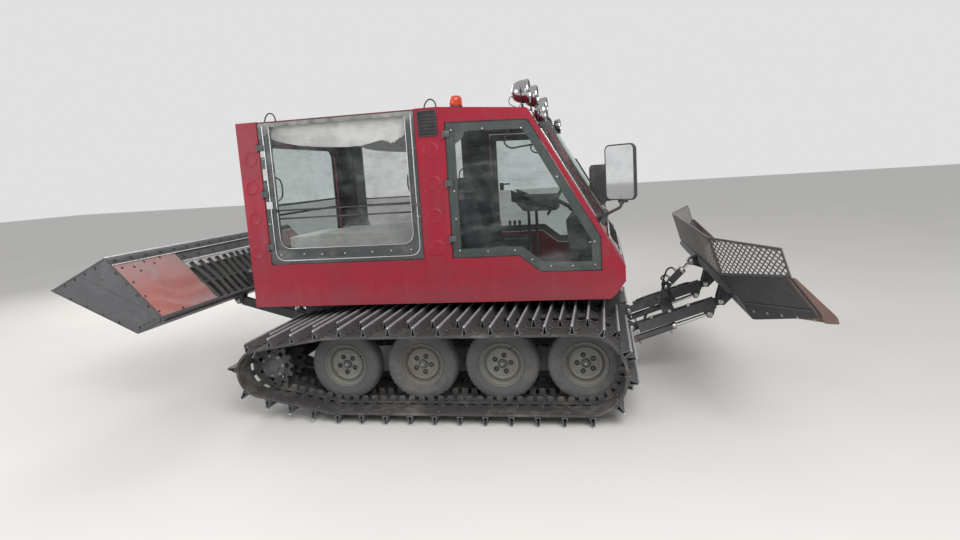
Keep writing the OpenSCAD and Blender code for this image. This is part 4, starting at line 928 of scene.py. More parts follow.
def makeVents():
    # A dark louvre on the column between the doors: a rounded frame, a recessed back and sloping slats
    (x, z), (w, h), n = vent["middle"], vent["size"], vent["slats"]
    ring = plateRing(roundRect(w, h, 0.022), roundRect(w - 0.026, h - 0.026, 0.012), 0.009)
    back = sidePlate(roundRect(w - 0.02, h - 0.02, 0.014, 4, x, z), skin + 0.0003, 0.0015, 0.0003)
    slat = boxForm((-w / 2 + 0.011, -0.0035, -0.01), (w / 2 - 0.011, 0.0005, 0.01), 0.0008)
    places = [(x, -1.0785, z + (k - (n - 1) / 2) * (h - 0.05) / (n - 1)) for k in range(n)]
    c, s = math.cos(vent["slant"]), math.sin(vent["slant"])
    slats = placed(slat, places, (1, 0, 0), (0, c, s), (0, -s, c))
    form = bothSides(placed(ring, (x, skin + 0.0003, z), *toRight), back, slats)
    makePiece("side_vents", form, darkPlastic)


def makeRoofLoops():
    # Bent steel rod lifting eyes welded to small feet on the roof
    path = curveThrough([(-0.264, 0, 2.47), (-0.262, 0, 2.5), (-0.243, 0, 2.539), (-0.209, 0, 2.558),
        (-0.174, 0, 2.539), (-0.161, 0, 2.5), (-0.16, 0, 2.47)], 28)
    feet = [slab(circle(0.017, 12, x, 0), [(2.4795, 0), (2.4835, 0), (2.485, 0.002)])
        for x in (-0.264, -0.16)]
    loops = placed(joined(tube(path, 0.006), *feet), [(x, y, 0) for x in (0, -1.45) for y in (-0.95, 0.95)])
    makePiece("roof_loops", loops, blackBolt)


dimple = {"depth": 0.0035, "radius": 0.066, "at": ((-1.822, 2.168), (-1.836, 1.928), (-1.838, 1.656),
    (-1.852, 1.352), (-0.2, 2.136), (-0.202, 1.868), (-0.204, 1.597), (-0.206, 1.33))}


def makeDimples():
    # Round pressings on the rear columns and on those between the doors
    r, h = dimple["radius"], dimple["depth"]
    press = lathe([(r + 0.003, -0.0015), (r, 0.0006), (r * 0.93, h * 0.72), (r * 0.84, h),
        (r * 0.74, h * 0.86), (r * 0.6, h * 0.45), (r * 0.3, h * 0.3), (0, h * 0.28)], 40)
    makePiece("column_pressings", bothSides(rightBolts(dimple["at"], skin, press)), bodyPaint,
        smooth=60)


makeVents()
makeRoofLoops()
makeDimples()

# Doors: dark frames behind full panes, with bolts, rubber, bright trim, handles and latches
doors = {"rearLine": ((-1.724, 1.242), (-0.326, 1.242), (-0.326, 2.468), (-1.724, 2.468)),
    "cabLine": ((-0.072, 1.242), (0.486, 1.242), (0.656, 1.104), (1.143, 1.1), (1.141, 1.366),
    (0.604, 2.326), (-0.068, 2.347)), "rearBolts": ((-1.628, 1.325), (-1.408, 1.325), (-1.243, 1.318),
    (-1.03, 1.318), (-0.781, 1.322), (-0.61, 1.324), (-0.433, 1.326), (-1.7, 1.6), (-1.7, 2.16),
    (-0.35, 1.6), (-0.35, 2.16)), "cabBolts": ((-0.02, 2.287), (0.239, 2.28), (0.55, 2.262),
    (-0.025, 1.794), (-0.025, 1.565), (-0.012, 1.3), (0.226, 1.285), (0.45, 1.285), (0.59, 1.205),
    (0.739, 1.145), (0.917, 1.14), (1.095, 1.145), (1.095, 1.33), (0.819, 1.86)),
    "trim": ((-1.678, 2.44), (-1.672, 1.272), (-0.352, 1.276), (-0.35, 2.44)),
    "sight": ((-1.618, 2.43), (-1.618, 1.377), (-0.402, 1.377), (-0.402, 2.43)),
    "pads": ((-1.7, 2.205, 0.034, 0.055), (-1.692, 2.03, 0.044, 0.1), (-1.684, 1.764, 0.058, 0.062))}
# Bent handles inside the doors: rear and front of the rear door, top and foot of the cab door
grips = {"rear": ((-1.66, -1.04, 2.01), (-1.645, -1.012, 2.006), (-1.605, -0.995, 1.975),
    (-1.592, -0.992, 1.9), (-1.605, -0.995, 1.825), (-1.645, -1.012, 1.794), (-1.66, -1.04, 1.79)),
    "loop": ((-0.372, -1.04, 2), (-0.386, -1.012, 1.996), (-0.426, -0.995, 1.965), (-0.441, -0.992, 1.893),
    (-0.428, -0.995, 1.815), (-0.388, -1.012, 1.786), (-0.372, -1.04, 1.782)),
    "cab": ((0.52, -1.04, 2.29), (0.44, -1.005, 2.255), (0.4, -0.992, 2.165), (0.45, -0.99, 2.115),
    (0.53, -0.995, 2.12), (0.64, -1.01, 2.13), (0.665, -1.04, 2.135)),
    "low": ((1.06, -1.04, 1.325), (1.085, -1.005, 1.318), (1.112, -0.995, 1.29), (1.118, -0.994, 1.24),
    (1.11, -1.004, 1.19), (1.1, -1.04, 1.175))}


def sealForm(outline):
    # A thin round bead in the gap round a door
    return tube([(x, -1.068, z) for x, z in rounded(outline, 0.012, 6)], 0.0034, 8, True)


def stripForm(corners, y, radius, width, depth, edge):
    # A flat strip on the door along a path through the corners, which are rounded off
    path = rounded3([(x, y, z) for x, z in corners], radius, 9)
    return sweptBar(path, width, depth, (0, -1, 0), edge)


def makeDoors():
    # Right-hand forms, mirrored for the left side; each rides on its door
    tubes = {k: tube(curveThrough(p, 30), 0.0075) for k, p in grips.items()}
    pads = [sidePlate(roundRect(w, h, 0.006, 3, x, z), skin + 0.0003, 0.007) for x, z, w, h in doors["pads"]]
    dome = panHead(0.0095, 0.0055)
    knob = lathe([(0, 0), (0.016, 0), (0.016, 0.003), (0.009, 0.005), (0.008, 0.014), (0.014, 0.017),
        (0.014, 0.022), (0, 0.024)], 20)
    latches = joined(sidePlate(roundRect(0.24, 0.036, 0.016, 5, -1.136, 1.318), skin, 0.0022, 0.0006),
        placed(knob, [(-1.625, skin, 1.713), (-0.372, skin, 1.7)], *toRight))
    lever = joined(sidePlate(roundRect(0.05, 0.085, 0.01, 4, 0.035, 1.76), skin, 0.006),
        placed(knob, (0.035, -1.08, 1.785), *toRight),
        sidePlate(roundRect(0.105, 0.018, 0.008, 4, 0.075, 1.785), -1.098, 0.009, 0.003))
    pieces = (("rear", "trim", stripForm(doors["trim"], -1.0765, 0.095, 0.009, 0.004, 0.0015), trimMetal,
        "trim_pale"), ("rear", "lip", stripForm(doors["sight"], -1.0757, 0.105, 0.006, 0.003, 0.001),
        trimMetal, "trim_pale"), ("rear", "pads", joined(*pads), palePlastic, "trim_pale"),
        ("rear", "bolts", rightBolts(doors["rearBolts"], skin, dome), zincBolt, "trim_pale"),
        ("cab", "bolts", rightBolts(doors["cabBolts"], skin, dome), zincBolt, "trim_pale"),
        ("rear", "grips", joined(tubes["rear"], tubes["loop"]), darkPlastic, "frame_black"),
        ("cab", "grips", tubes["cab"], darkPlastic, "frame_black"),
        ("cab", "pull", tubes["low"], chrome, "trim_pale"),
        ("rear", "latches", latches, darkPlastic, "frame_black"),
        ("cab", "latch", lever, darkPlastic, "frame_black"),
        ("rear", "seal", sealForm(doors["rearLine"]), sealRubber, "frame_black"),
        ("cab", "seal", sealForm(doors["cabLine"]), sealRubber, "frame_black"))
    for side in ("right", "left"):
        rear, cab = "rear_door_" + side, "cab_door_" + side
        softened(rear, rearDoorPaint, 0.003, rear + "_body")
        softened(cab, doorPaint, 0.003, cab + "_body")
        softened("rear_glass_" + side, sideGlass, 0.0012, rear + "_body", wideWidth=0.003)
        softened("cab_glass_" + side, cabGlass, 0.0012, cab + "_body", wideWidth=0.003)
        for door, name, form, material, slot in pieces:
            makePiece(f"{door}_door_{name}_{side}", onSide(form, side), material,
                f"{door}_door_{side}_body")


makeDoors()
print("doors done")

# Inside the body
inside = {"half": 1.034, "rear": -1.884, "floor": 0.901, "ceiling": 2.437}
headliner = {"sheet": 0.012, "front": 0.555, "battens": (-1.55, -1.1, -0.65, -0.2, 0.22),
    "battenHalf": 0.95, "underRoof": 0.0425, "lean": math.radians(12)}
# Lower edge of the torn lining that hangs inside each rear door, from front to rear
tornEdge = ((-0.36, 2.36), (-0.4, 2.315), (-0.445, 2.285), (-0.475, 2.262), (-0.49, 2.27), (-0.505, 2.246),
    (-0.52, 2.252), (-0.535, 2.226), (-0.555, 2.236), (-0.572, 2.22), (-0.585, 2.238), (-0.605, 2.245),
    (-0.65, 2.258), (-0.74, 2.238), (-0.83, 2.222), (-0.96, 2.22), (-1.1, 2.228), (-1.26, 2.243),
    (-1.4, 2.262), (-1.52, 2.29), (-1.62, 2.325), (-1.7, 2.365), (-1.78, 2.395))


def makeHeadliner():
    # Lining boards under the roof with battens, and side strips that droop behind the rear doors
    t, top, kink, front = headliner["sheet"], inside["ceiling"], body["kink"], headliner["front"]
    frontTop = roofTop(front) - headliner["underRoof"]
    strip = [(inside["rear"], top - t), (kink, top - t), (front, frontTop - t), (front, frontTop),
        (kink, top), (inside["rear"], top)]
    half = inside["half"] - 0.004
    forms = [sidePlate(strip, half, 2 * half)]
    batten = boxForm((-0.018, -headliner["battenHalf"], -0.005), (0.018, headliner["battenHalf"], 0.0005),
        0.002)
    for x in headliner["battens"]:
        level = min(top, roofTop(x) - headliner["underRoof"]) - t
        fall = -math.atan(roofFall) if x > kink else 0.0
        c, s = math.cos(fall), math.sin(fall)
        forms.append(placed(batten, (x, 0, level), (c, 0, s), (0, 1, 0), (-s, 0, c)))
    makePiece("headliner", forms, headlining)
    # The strip hangs from the ceiling, leans in at its foot and waves a little
    torn = sheetSlab((tornEdge + ((-1.79, 2.424), (-0.355, 2.424)))[::-1], 0.004, 0.0008)
    p, faces = placed(torn, (0, 0, 0), *toRight)
    drop = top - p[:, 2]
    p[:, 1] += drop * math.tan(headliner["lean"]) - 1.018 + 0.01 * np.sin(p[:, 0] * 9) * np.clip(drop / 0.2,
        0, 1)
    makePiece("headliner_strips", bothSides((p, faces)), headlining)


def makeLinings():
    # Dark boards on the columns, the lower walls and round the rear window, and the window's rubber
    column = [(-0.318, 0.93), (-0.084, 0.93), (-0.084, 2.418), (-0.318, 2.418)]
    corner = [(-1.88, 0.93), (-1.734, 0.93), (-1.734, 2.418), (-1.88, 2.418)]
    low = [(-1.728, 0.93), (-0.324, 0.93), (-0.324, 1.23), (-1.728, 1.23)]
    above = [(-0.07, 2.362), (0.545, 2.342), (0.57, 2.362), (0.545, 2.368), (-0.06, 2.416)]
    boards = [sidePlate(rounded(o, 0.02, 4), 0.006 - inside["half"], 0.006, 0.0015)
        for o in (column, corner, low, above)]
    window = roundRect(1.87, 1.05, 0.13, 6, 0, 1.81)
    wall = roundRect(2 * inside["half"] - 0.02, 1.49, 0.03, 6, 0, 1.672)
    back = placed(plateRing(wall, window, 0.006, 0.0015), (inside["rear"] + 0.001, 0, 0), *toFront)
    makePiece("wall_linings", [back, bothSides(*boards)], dashPlastic)
    lip = [(body["rear"] - 0.002, y, z) for y, z in roundRect(1.8, 0.98, 0.11, 7, 0, 1.81)]
    beads = [tube(lip, 0.013, 8, True), tube(np.array(lip) + [0.046, 0, 0], 0.011, 8, True)]
    makePiece("rear_window_seal", beads, sealRubber)


def makeRails():
    # Hand rails: two across the rear window with flanged ends, and two on the inside of each rear door
    flange = lathe([(0, 0), (0.02, 0), (0.02, 0.004), (0.011, 0.008), (0, 0.008)], 16)
    forms, rails = [], []
    for z in (1.745, 1.655):
        forms.append(tube([(-1.872, -0.955, z), (-1.852, -0.925, z), (-1.848, -0.88, z), (-1.848, 0.88, z),
            (-1.852, 0.925, z), (-1.872, 0.955, z)], 0.01))
        forms.append(placed(flange, [(-1.8765, y, z) for y in (-0.955, 0.955)], *toFront))
    for z in (1.712, 1.64):
        rails.append(tube([(-1.64, -1.04, z), (-1.622, -1.022, z), (-1.59, -1.016, z), (-0.43, -1.016, z),
            (-0.398, -1.022, z), (-0.38, -1.04, z)], 0.0075))
    makePiece("rear_rails", forms, darkPlastic)
    for side in ("right", "left"):
        makePiece("rear_door_rails_" + side, onSide(joined(*rails), side), darkPlastic,
            f"rear_door_{side}_body")


cover = {"rear": -1.56, "front": -0.42, "half": 0.42, "top": 1.44}


def makeCover():
    # The engine cover with edge angles, two handles and screws; a lower box carries it on to the rear wall
    softened("engine_cover", coverMetal, 0.006)
    x0, x1, w, top = cover["rear"], cover["front"], cover["half"], cover["top"]
    rim = placed(plateRing(roundRect(x1 - x0 + 0.006, 2 * w + 0.006, 0.012, 4),
        roundRect(x1 - x0 - 0.06, 2 * w - 0.06, 0.01, 4), 0.003, 0.001), ((x0 + x1) / 2, 0, top))
    skirt = boxForm((x0 - 0.002, -w - 0.003, top - 0.03), (x1 + 0.002, -w, top + 0.002), 0.001)
    grip = tube(curveThrough([(-0.07, 0, 0), (-0.066, 0, 0.022), (-0.045, 0, 0.034), (0.045, 0, 0.034),
        (0.066, 0, 0.022), (0.07, 0, 0)], 24), 0.006, 8)
    grips = placed(grip, [(x, 0, top) for x in (-1.45, -0.53)], (0, 1, 0), (-1, 0, 0))
    heads = placed(panHead(0.008, 0.004), [(x, y, top + 0.003)
        for x in np.linspace(x0 + 0.05, x1 - 0.05, 8) for y in (0.015 - w, w - 0.015)])
    makePiece("cover_trim", [joined(rim, bothSides(skirt)), joined(heads, grips)], [coverMetal, zincBolt])
    tail = boxForm((inside["rear"] + 0.008, -w, inside["floor"] + 0.002), (x0 + 0.004, w, top - 0.018), 0.008)
    makePiece("cover_tail", tail, coverMetal)


makeHeadliner()
makeLinings()
makeRails()
makeCover()

# Seats: the CAD's size, as a plain pedestal with an upholstered cushion and back that leans
seat = {"y": (-0.52, 0.52), "x": (-0.06, 0.42), "base": 0.23, "cushion": 0.24, "z": (1.12, 1.25),
    "back": (0.46, 0.655, 0.115), "backX": -0.03, "backUp": 0.325, "lean": (-0.11, 0, 0.67)}


def superellipse(width, depth, square):
    # An oval between an ellipse (square 1) and a rectangle (square 0): cosine and sine raised to that power
    c, s = circle(1, 56).T
    return np.sign(c) * np.abs(c) ** square * width / 2, np.sign(s) * np.abs(s) ** square * depth / 2


def pillow(width, depth, height, crown, square=0.3):
    # A cushion on z = 0: superellipse rings of a share of the size, a side that bellies, and a crowned top
    rings = [(h * height, k, square) for h, k in ((0, 0.9), (0.06, 0.965), (0.18, 0.99), (0.45, 1),
        (0.72, 0.99), (0.88, 0.965), (0.96, 0.92), (1, 0.84))]
    rings += [(height + crown * (1 - r ** 2), 0.84 * r, square + (1 - r) * 0.5)
        for r in (0.8, 0.55, 0.3, 0.1)]
    grid = []
    for z, k, q in rings:
        x, y = superellipse(width * k, depth * k, q)
        grid.append(np.column_stack([x, y, 0 * x + z]))
    return gridForm(np.stack(grid), closeV=True)


def pipingRound(width, depth, z, square=0.3):
    # A sewn cord round a cushion's upper edge
    x, y = superellipse(width, depth, square)
    return tube(np.column_stack([x, y, np.full(len(x), z)]), 0.004, 6, True)


def makeSeats():
    # Cushions and backs are padded pieces on plain bases with slides
    (x0, x1), (z0, z1), (w, h, t) = seat["x"], seat["z"], seat["back"]
    lean = unit(seat["lean"])
    outward = np.array([lean[2], 0, -lean[0]])
    bases, slides = [], []
    for side, y in zip(("right", "left"), seat["y"]):
        depth = 2 * seat["cushion"]
        cushion = placed(pillow(x1 - x0, depth - 0.004, z1 - z0 - 0.014, 0.014),
            ((x0 + x1) / 2, y, z0 + 0.001))
        cord = placed(pipingRound(x1 - x0 - 0.008, depth - 0.01, z1 - z0 - 0.018), ((x0 + x1) / 2, y, z0))
        back = placed(joined(pillow(w, h, t, 0.016, 0.36),
            pipingRound(w - 0.012, h - 0.015, t - 0.011, 0.36)),
            np.array([seat["backX"], y, z1 + seat["backUp"]]) - outward * 0.055, (0, 1, 0), lean, outward)
        makePiece("seat_cushion_" + side, [cushion, cord], seatCloth)
        makePiece("seat_back_" + side, back, seatCloth)
        bases.append(boxForm((x0 + 0.004, y - seat["base"], inside["floor"]),
            (x1 - 0.004, y + seat["base"], z0 + 0.006), 0.012))
        slides += [boxForm((x0 + 0.03, y + dy - 0.014, z0 - 0.001), (x1 - 0.01, y + dy + 0.014, z0 + 0.004),
            0.002) for dy in (-0.18, 0.18)]
    makePiece("seat_bases", [*bases, *slides], darkPlastic, replaces="seats")


makeSeats()
print("seats done")

dash = {"half": 0.848, "deck": ((0.88, 1.25), (0.86, 1.5), (1.03, 1.54), (1.08, 1.44), (1.12, 1.2)),
    "console": 0.298, "steer": (0.7, 0.52, 1.6), "tilt": math.radians(59), "wheel": 0.178,
    "dials": ((0.42, 1.43), (0.52, 1.44), (0.62, 1.43), (0.72, 1.43)),
    "pod": ((0.325, 1.69), (0.325, 1.668), (0.43, 1.545), (0.745, 1.54), (0.745, 1.684)), "podHalf": 0.2}


def wheelForm(r):
    # A rim, three flat spokes and a boss, round Z
    ring = tube([(x, y, 0.012) for x, y in circle(r, 48)], 0.011, 10, True)
    spoke = sweptBar([(0.02, 0, 0.004), (0.1, 0, 0.006), (0.172, 0, 0.012)], 0.026, 0.007, (0, 0, 1), 0.002)
    spokes = [placed(spoke, (0, 0, 0), (y, -x, 0), (x, y, 0)) for x, y in circle(1, 3)]
    boss = lathe([(0, -0.004), (0.038, -0.004), (0.04, 0.004), (0.034, 0.018), (0.02, 0.024), (0, 0.025)], 24)
    return joined(ring, boss, *spokes)


def makeDashboard():
    # A moulded deck, console, steering column and wheel, and dials, rockers and vents on the deck's rear face
    deck = sidePlate(rounded(dash["deck"], 0.018), dash["half"], 2 * dash["half"], 0.006)
    console = boxForm((0.862, -dash["console"], inside["floor"]), (1.06, dash["console"], 1.3), 0.012)
    column = bar((0.9, 0.52, 1.48), dash["steer"], 0.02, 16)
    shroud = bar((0.905, 0.52, 1.477), (0.83, 0.52, 1.522), 0.034, 16, 0.004)
    hood = placed(sheetSlab(rounded([(-0.16, 0), (0.16, 0), (0.13, 0.075), (-0.13, 0.075)], 0.02, 4), 0.03,
        0.004), (0.866, 0.52, 1.492), (0, 1, 0), (0.05, 0, 1), (1, 0, -0.05))
    makePiece("dashboard_shell", [deck, console, column, shroud, hood], dashPlastic,
        replaces="dashboard")
    axis = np.array([-math.sin(dash["tilt"]), 0, math.cos(dash["tilt"])])
    wheel = placed(wheelForm(dash["wheel"]), dash["steer"], np.cross((0, 1, 0), axis), (0, 1, 0), axis)
    makePiece("steering_wheel", wheel, darkPlastic)
    face = unit((-1, 0, -0.08))
    onDeck = ((0, -1, 0), (face[2], 0, -face[0]), face)
    dial = lathe([(0, 0), (0.034, 0), (0.034, 0.005), (0.03, 0.008), (0.029, 0.003), (0, 0.003)], 24)
    rocker = boxForm((-0.011, -0.018, 0), (0.011, 0.018, 0.008), 0.003)
    louvre = plateRing(roundRect(0.11, 0.055, 0.01, 4), roundRect(0.098, 0.043, 0.006, 4), 0.006, 0.001)
    fittings = [placed(dial, [(0.8665 - 0.08 * (z - 1.42), y, z) for y, z in dash["dials"]], *onDeck),
        placed(rocker, [(0.8669, y, 1.44) for y in np.linspace(-0.2, 0.24, 10)], *onDeck),
        placed(louvre, [(0.8665, y, 1.43) for y in (-0.7, -0.46)], *onDeck)]
    makePiece("dash_fittings", fittings, darkPlastic)


def makeControls():
    # Instrument pod on two posts between the seats, and a box with three levers and two pedals
    pod = sidePlate(rounded(dash["pod"], 0.012, 3), dash["podHalf"], 2 * dash["podHalf"], 0.006)
    posts = [bar((x, 0, inside["floor"]), (x, 0, 1.56), 0.014) for x in (0.455, 0.53)]
    makePiece("instrument_pod", [pod, *posts], dashPlastic)
    knob = lathe([(0, 0.14), (0.012, 0.142), (0.016, 0.16), (0.015, 0.178), (0.008, 0.188), (0, 0.19)], 16)
    lever = joined(bar((0, 0, -0.004), (0, 0, 0.15), 0.005, 8), knob)
    levers = placed(lever, [(0.24 + k * 0.05, 0.16, 1.248) for k in range(3)])
    box = boxForm((0.16, 0.1, inside["floor"]), (0.42, 0.22, 1.25), 0.015)
    pedals = [boxForm((0.86, y - 0.035, 0.99), (0.872, y + 0.035, 1.11)) for y in (0.44, 0.6)]
    makePiece("lever_console", [box, levers, *pedals], darkPlastic)


makeDashboard()
makeControls()
print("inside done")

# Glazing of the front: bowed windscreen, rubber round its edge, and two wipers
screen = {"half": 0.93, "top": 0.065, "foot": 1.12, "bow": 0.065, "stripY": 0.957,
    "wipers": ((-0.3, -0.62), (0.5, 0.18))}


def onGlass(s, up, y):
    # A point s metres down the windscreen and up metres off it; the glass bows as an arc from side to side
    half, bow = screen["half"], screen["bow"]
    r = (half ** 2 + bow ** 2) / (2 * bow)
    return slope(s, bow - r + math.sqrt(r * r - y ** 2) + up, y)


def makeWindscreen():
    # Pane and caps from the CAD, the rubber round the pane, and bright strips with screws at its sides
    softened("fixed_glass", frontGlass, 0.0012, wideWidth=0.003)
    softened("windscreen_frame", sealRubber)
    half, top, foot, edge = screen["half"], screen["top"], screen["foot"], screen["stripY"]
    ys, ss = np.linspace(-half, half, 33), np.linspace(foot, top, 20)[1:-1]
    loop = [onGlass(foot, 0.005, y) for y in ys] + [slope(s, 0.005, half) for s in ss]
    loop += [onGlass(top, 0.005, y) for y in ys[::-1]] + [slope(s, 0.005, -half) for s in ss[::-1]]
    makePiece("windscreen_seal", tube(loop, 0.0115, 8, True), sealRubber)
    strips = [sweptBar([slope(s, 0.004, y) for s in np.linspace(0.03, 1.15, 16)], 0.034, 0.007, slopeOut,
        0.002) for y in (-edge, edge)]
    heads = placed(panHead(0.006, 0.003), [slope(s, 0.008, -edge) for s in np.linspace(0.08, 1.1, 9)],
        *onFront)
    makePiece("windscreen_strips", [joined(*strips), bothSides(heads)], [trimMetal, zincBolt])


def makeWipers():
    # Arms on spindles below the glass, each with a sprung blade that rests on the bow
    forms, rubbers = [], []
    spindle = lathe([(0, -0.012), (0.02, -0.012), (0.022, 0), (0.016, 0.014), (0.008, 0.02), (0, 0.021)], 18)
    for foot, tip in screen["wipers"]:
        base, middle = slope(1.178, 0.012, foot), onGlass(0.8, 0.04, tip)
        knee = base + (middle - base) * 0.22 + slopeOut * 0.034
        arm = [base + slopeOut * 0.012, (base + knee) / 2 + slopeOut * 0.016, knee,
            (knee + middle) / 2 + slopeOut * 0.006, middle]
        blade = [onGlass(s, 0.02, tip) for s in np.linspace(0.52, 1.06, 9)]
        rubber = [onGlass(s, 0.0125, tip) for s in np.linspace(0.51, 1.07, 9)]
        forms += [placed(spindle, base, *onFront), sweptBar(arm, 0.013, 0.006, slopeOut, 0.002),
            sweptBar(blade, 0.009, 0.007, slopeOut, 0.002), bar(middle, onGlass(0.8, 0.018, tip), 0.005, 8)]
        rubbers.append(sweptBar(rubber, 0.004, 0.01, slopeOut, 0.001))
    makePiece("wipers", [joined(*forms), joined(*rubbers)], [darkPlastic, sealRubber])


nose = {"down": 1.318, "size": (1.86, 0.215), "slats": 7, "slant": 0.7, "posts": (-0.465, 0, 0.465),
    "catchY": 0.908}


def makeNose():
    # A dark grille in a pale frame across the front, under the glass, with slats and two catches
    w, h = nose["size"]
    axes = ((0, 1, 0), -slopeDown, slopeOut)
    ring = plateRing(roundRect(w, h, 0.03), roundRect(w - 0.05, h - 0.05, 0.018), 0.016, 0.003)
    dark = [slab(roundRect(w - 0.04, h - 0.04, 0.02), [(0, 0.001), (0.003, 0)])]
    c, s = math.cos(nose["slant"]), math.sin(nose["slant"])
    slat = boxForm((-w / 2 + 0.026, -0.01, -0.0012), (w / 2 - 0.026, 0.01, 0.0012), 0.0008)
    dark += [placed(slat, (0, v, 0.009), (1, 0, 0), (0, c, s), (0, -s, c))
        for v in np.linspace(-0.068, 0.068, nose["slats"])]
    dark += [boxForm((u - 0.006, -h / 2 + 0.024, 0.003), (u + 0.006, h / 2 - 0.024, 0.014), 0.002)
        for u in nose["posts"]]
    catch = joined(boxForm((-0.014, -0.03, 0.014), (0.014, 0.022, 0.022), 0.003),
        bar((0, -0.012, 0.02), (0, -0.012, 0.028), 0.009, 14))
    forms = [placed(form, slope(nose["down"]), *axes) for form in (ring, joined(*dark))]
    forms.append(placed(catch, [slope(nose["down"], 0, y) for y in (-nose["catchY"], nose["catchY"])], *axes))
    makePiece("nose_grille", forms, [trimMetal, darkPlastic, zincBolt])


makeWindscreen()
makeWipers()
makeNose()

# Mirrors: side, place of the middle, and turn about the upright; the glass is set a little further outwards
mirror = {"at": ((-1, (1.31, -1.23, 1.868), -48), (1, (1.16, 1.23, 1.73), -62)), "size": (0.285, 0.42),
    "tilt": -2.5, "footDown": 1.06, "footY": 0.985}


def makeMirrors():
    # A moulded case with its glass on a bent arm, clamped above the elbow and bolted to the front's edge
    w, h = mirror["size"]
    shape = roundRect(w, h, 0.046, 7)
    case = slab(shape, [(0.004, 0.0105), (-0.012, 0.01), (-0.0175, 0.0085), (-0.018, 0.006),
        (-0.0165, 0.001), (-0.012, 0), (0.008, 0), (0.02, 0.006), (0.027, 0.02), (0.0295, 0.04)])
    silver = slab(inset(shape, 0.0095), [(-0.0165, 0.001), (-0.016, 0), (-0.011, 0)])
    boss = lathe([(0, -0.022), (0.03, -0.022), (0.03, -0.014), (0.022, -0.01), (0.02, 0.012),
        (0.014, 0.018), (0, 0.018)], 20)
    block = boxForm((-0.022, -0.035, -0.03), (0.022, 0.035, 0.03), 0.006)
    collar = lathe([(0.011, -0.012), (0.018, -0.012), (0.018, 0.012), (0.011, 0.012)], 16, ring=True)
    cases, silvers, arms = [], [], []
    for side, place, turn in mirror["at"]:
        out, face = (np.array([math.cos(a), math.sin(a), 0])
            for a in (math.radians(side * turn), math.radians(side * (turn + mirror["tilt"]))))
        cases.append(placed(case, place, (-out[1], out[0], 0), (0, 0, 1), out))
        silvers.append(placed(silver, place + out * 0.0055, (-face[1], face[0], 0), (0, 0, 1), face))
        low = np.array(place) - [0, 0, h / 2 - 0.01]
        foot = slope(mirror["footDown"], 0.024, side * mirror["footY"])
        route = [low + [0, 0, 0.03], low - [0, 0, 0.06], foot + [0.01, side * 0.12, 0.02], foot]
        arms += [tube(rounded3(route, 0.035), 0.0115, 12), placed(boss, foot, *onFront),
            placed(block, low + out * 0.018, out, (-out[1], out[0], 0)),
            placed(collar, low - [0, 0, 0.028])]
    makePiece("mirror_cases", cases, darkPlastic, replaces="mirrors")
    makePiece("mirror_arms", arms, blackBolt)
    makePiece("mirror_silvers", silvers, mirrorSilver, replaces="mirror_glass", smooth=15)


# Work lamps: side distance, front, height, radius, length and distance of the post behind the front
lampsAt = ((-0.9, 0.612, 2.56, 0.098, 0.138, 0.06), (-0.5, 0.64, 2.56, 0.096, 0.11, 0.06),
    (-0.965, 0.737, 2.38, 0.082, 0.08, 0.048))


def makeLamps():
    # Domed shells with a bowl and a fluted glass, each in a bent yoke on a post with a cable
    shells, lenses, brackets, cables = [], [], [], []
    foot = lathe([(0, -0.004), (0.026, -0.004), (0.026, 0.004), (0.014, 0.008), (0, 0.008)], 20)
    pivot = hexHead(0.008, 0.009, False)
    for y, x, z, r, length, back in lampsAt:
        shell = lathe([(r * 0.86, -0.004), (r * 0.97, -0.005), (r, 0.002), (r, 0.014), (r * 0.975, 0.02),
            (r * 0.955, 0.024), (r * 0.95, length * 0.35), (r * 0.9, length * 0.55),
            (r * 0.8, length * 0.75), (r * 0.66, length * 0.9), (r * 0.5, length * 0.985), (0, length)], 40)
        bowl = lathe([(r * 0.86, -0.003), (r * 0.78, length * 0.3), (r * 0.55, length * 0.62),
            (r * 0.2, length * 0.8), (0, length * 0.82)], 40)
        flutes = [(r * q, 0.003 - 0.006 * (1 - q * q) + 0.0007 * (k % 2))
            for k, q in enumerate(np.linspace(0, 0.87, 12))]
        glass = lathe(flutes + [(r * 0.87, 0.006), (0, 0.006)], 40)
        shells.append(placed(joined(shell, flipped(bowl)), (x - 0.001, y, z), *toRear))
        lenses.append(placed(glass, (x - 0.001, y, z), *toRear))
        post = x - back
        onRoof = post < body["front"]
        floor = roofTop(post) if onRoof else body["frontZ"] + (post
            - body["front"]) * slopeDown[2] / slopeDown[0]
        yoke = [(post, y + math.cos(a) * (r + 0.009), z + math.sin(a) * (r + 0.009))
            for a in np.radians(np.linspace(-198, 18, 19))]
        brackets += [sweptBar(yoke, 0.018, 0.003, (1, 0, 0), 0.0012), placed(foot, (post, y, floor)),
            bar((post, y, floor - 0.003), (post, y, z - r - 0.006), 0.011, 14)]
        brackets += [placed(pivot, (post, y + s * (r + 0.01), z), (1, 0, 0), (0, 0, -s), (0, s, 0))
            for s in (-1, 1)]
        cable = [(x - length * 0.9, y, z - r * 0.2), (x - length * 0.9 - 0.035, y - 0.01, z - r * 0.45),
            (post - 0.1, y - 0.02, floor + (0.045 if onRoof else 0.02)),
            (post - 0.03, y - 0.012, floor + 0.004)]
        cables.append(tube(curveThrough(cable, 22), 0.0032, 8))
    makePiece("lamp_shells", bothSides(*shells), lampChrome, replaces="roof_lamps")
    makePiece("lamp_lenses", bothSides(*lenses), lensGlass)
    makePiece("lamp_brackets", bothSides(*brackets), blackBolt)
    makePiece("lamp_cables", bothSides(*cables), hoseRubber)


beacon = {"at": (0.005, -0.93), "flutes": 24, "dome": ((0.0495, 0.016), (0.0515, 0.02), (0.0515, 0.06),
    (0.05, 0.074), (0.044, 0.087), (0.034, 0.095), (0.018, 0.0985))}


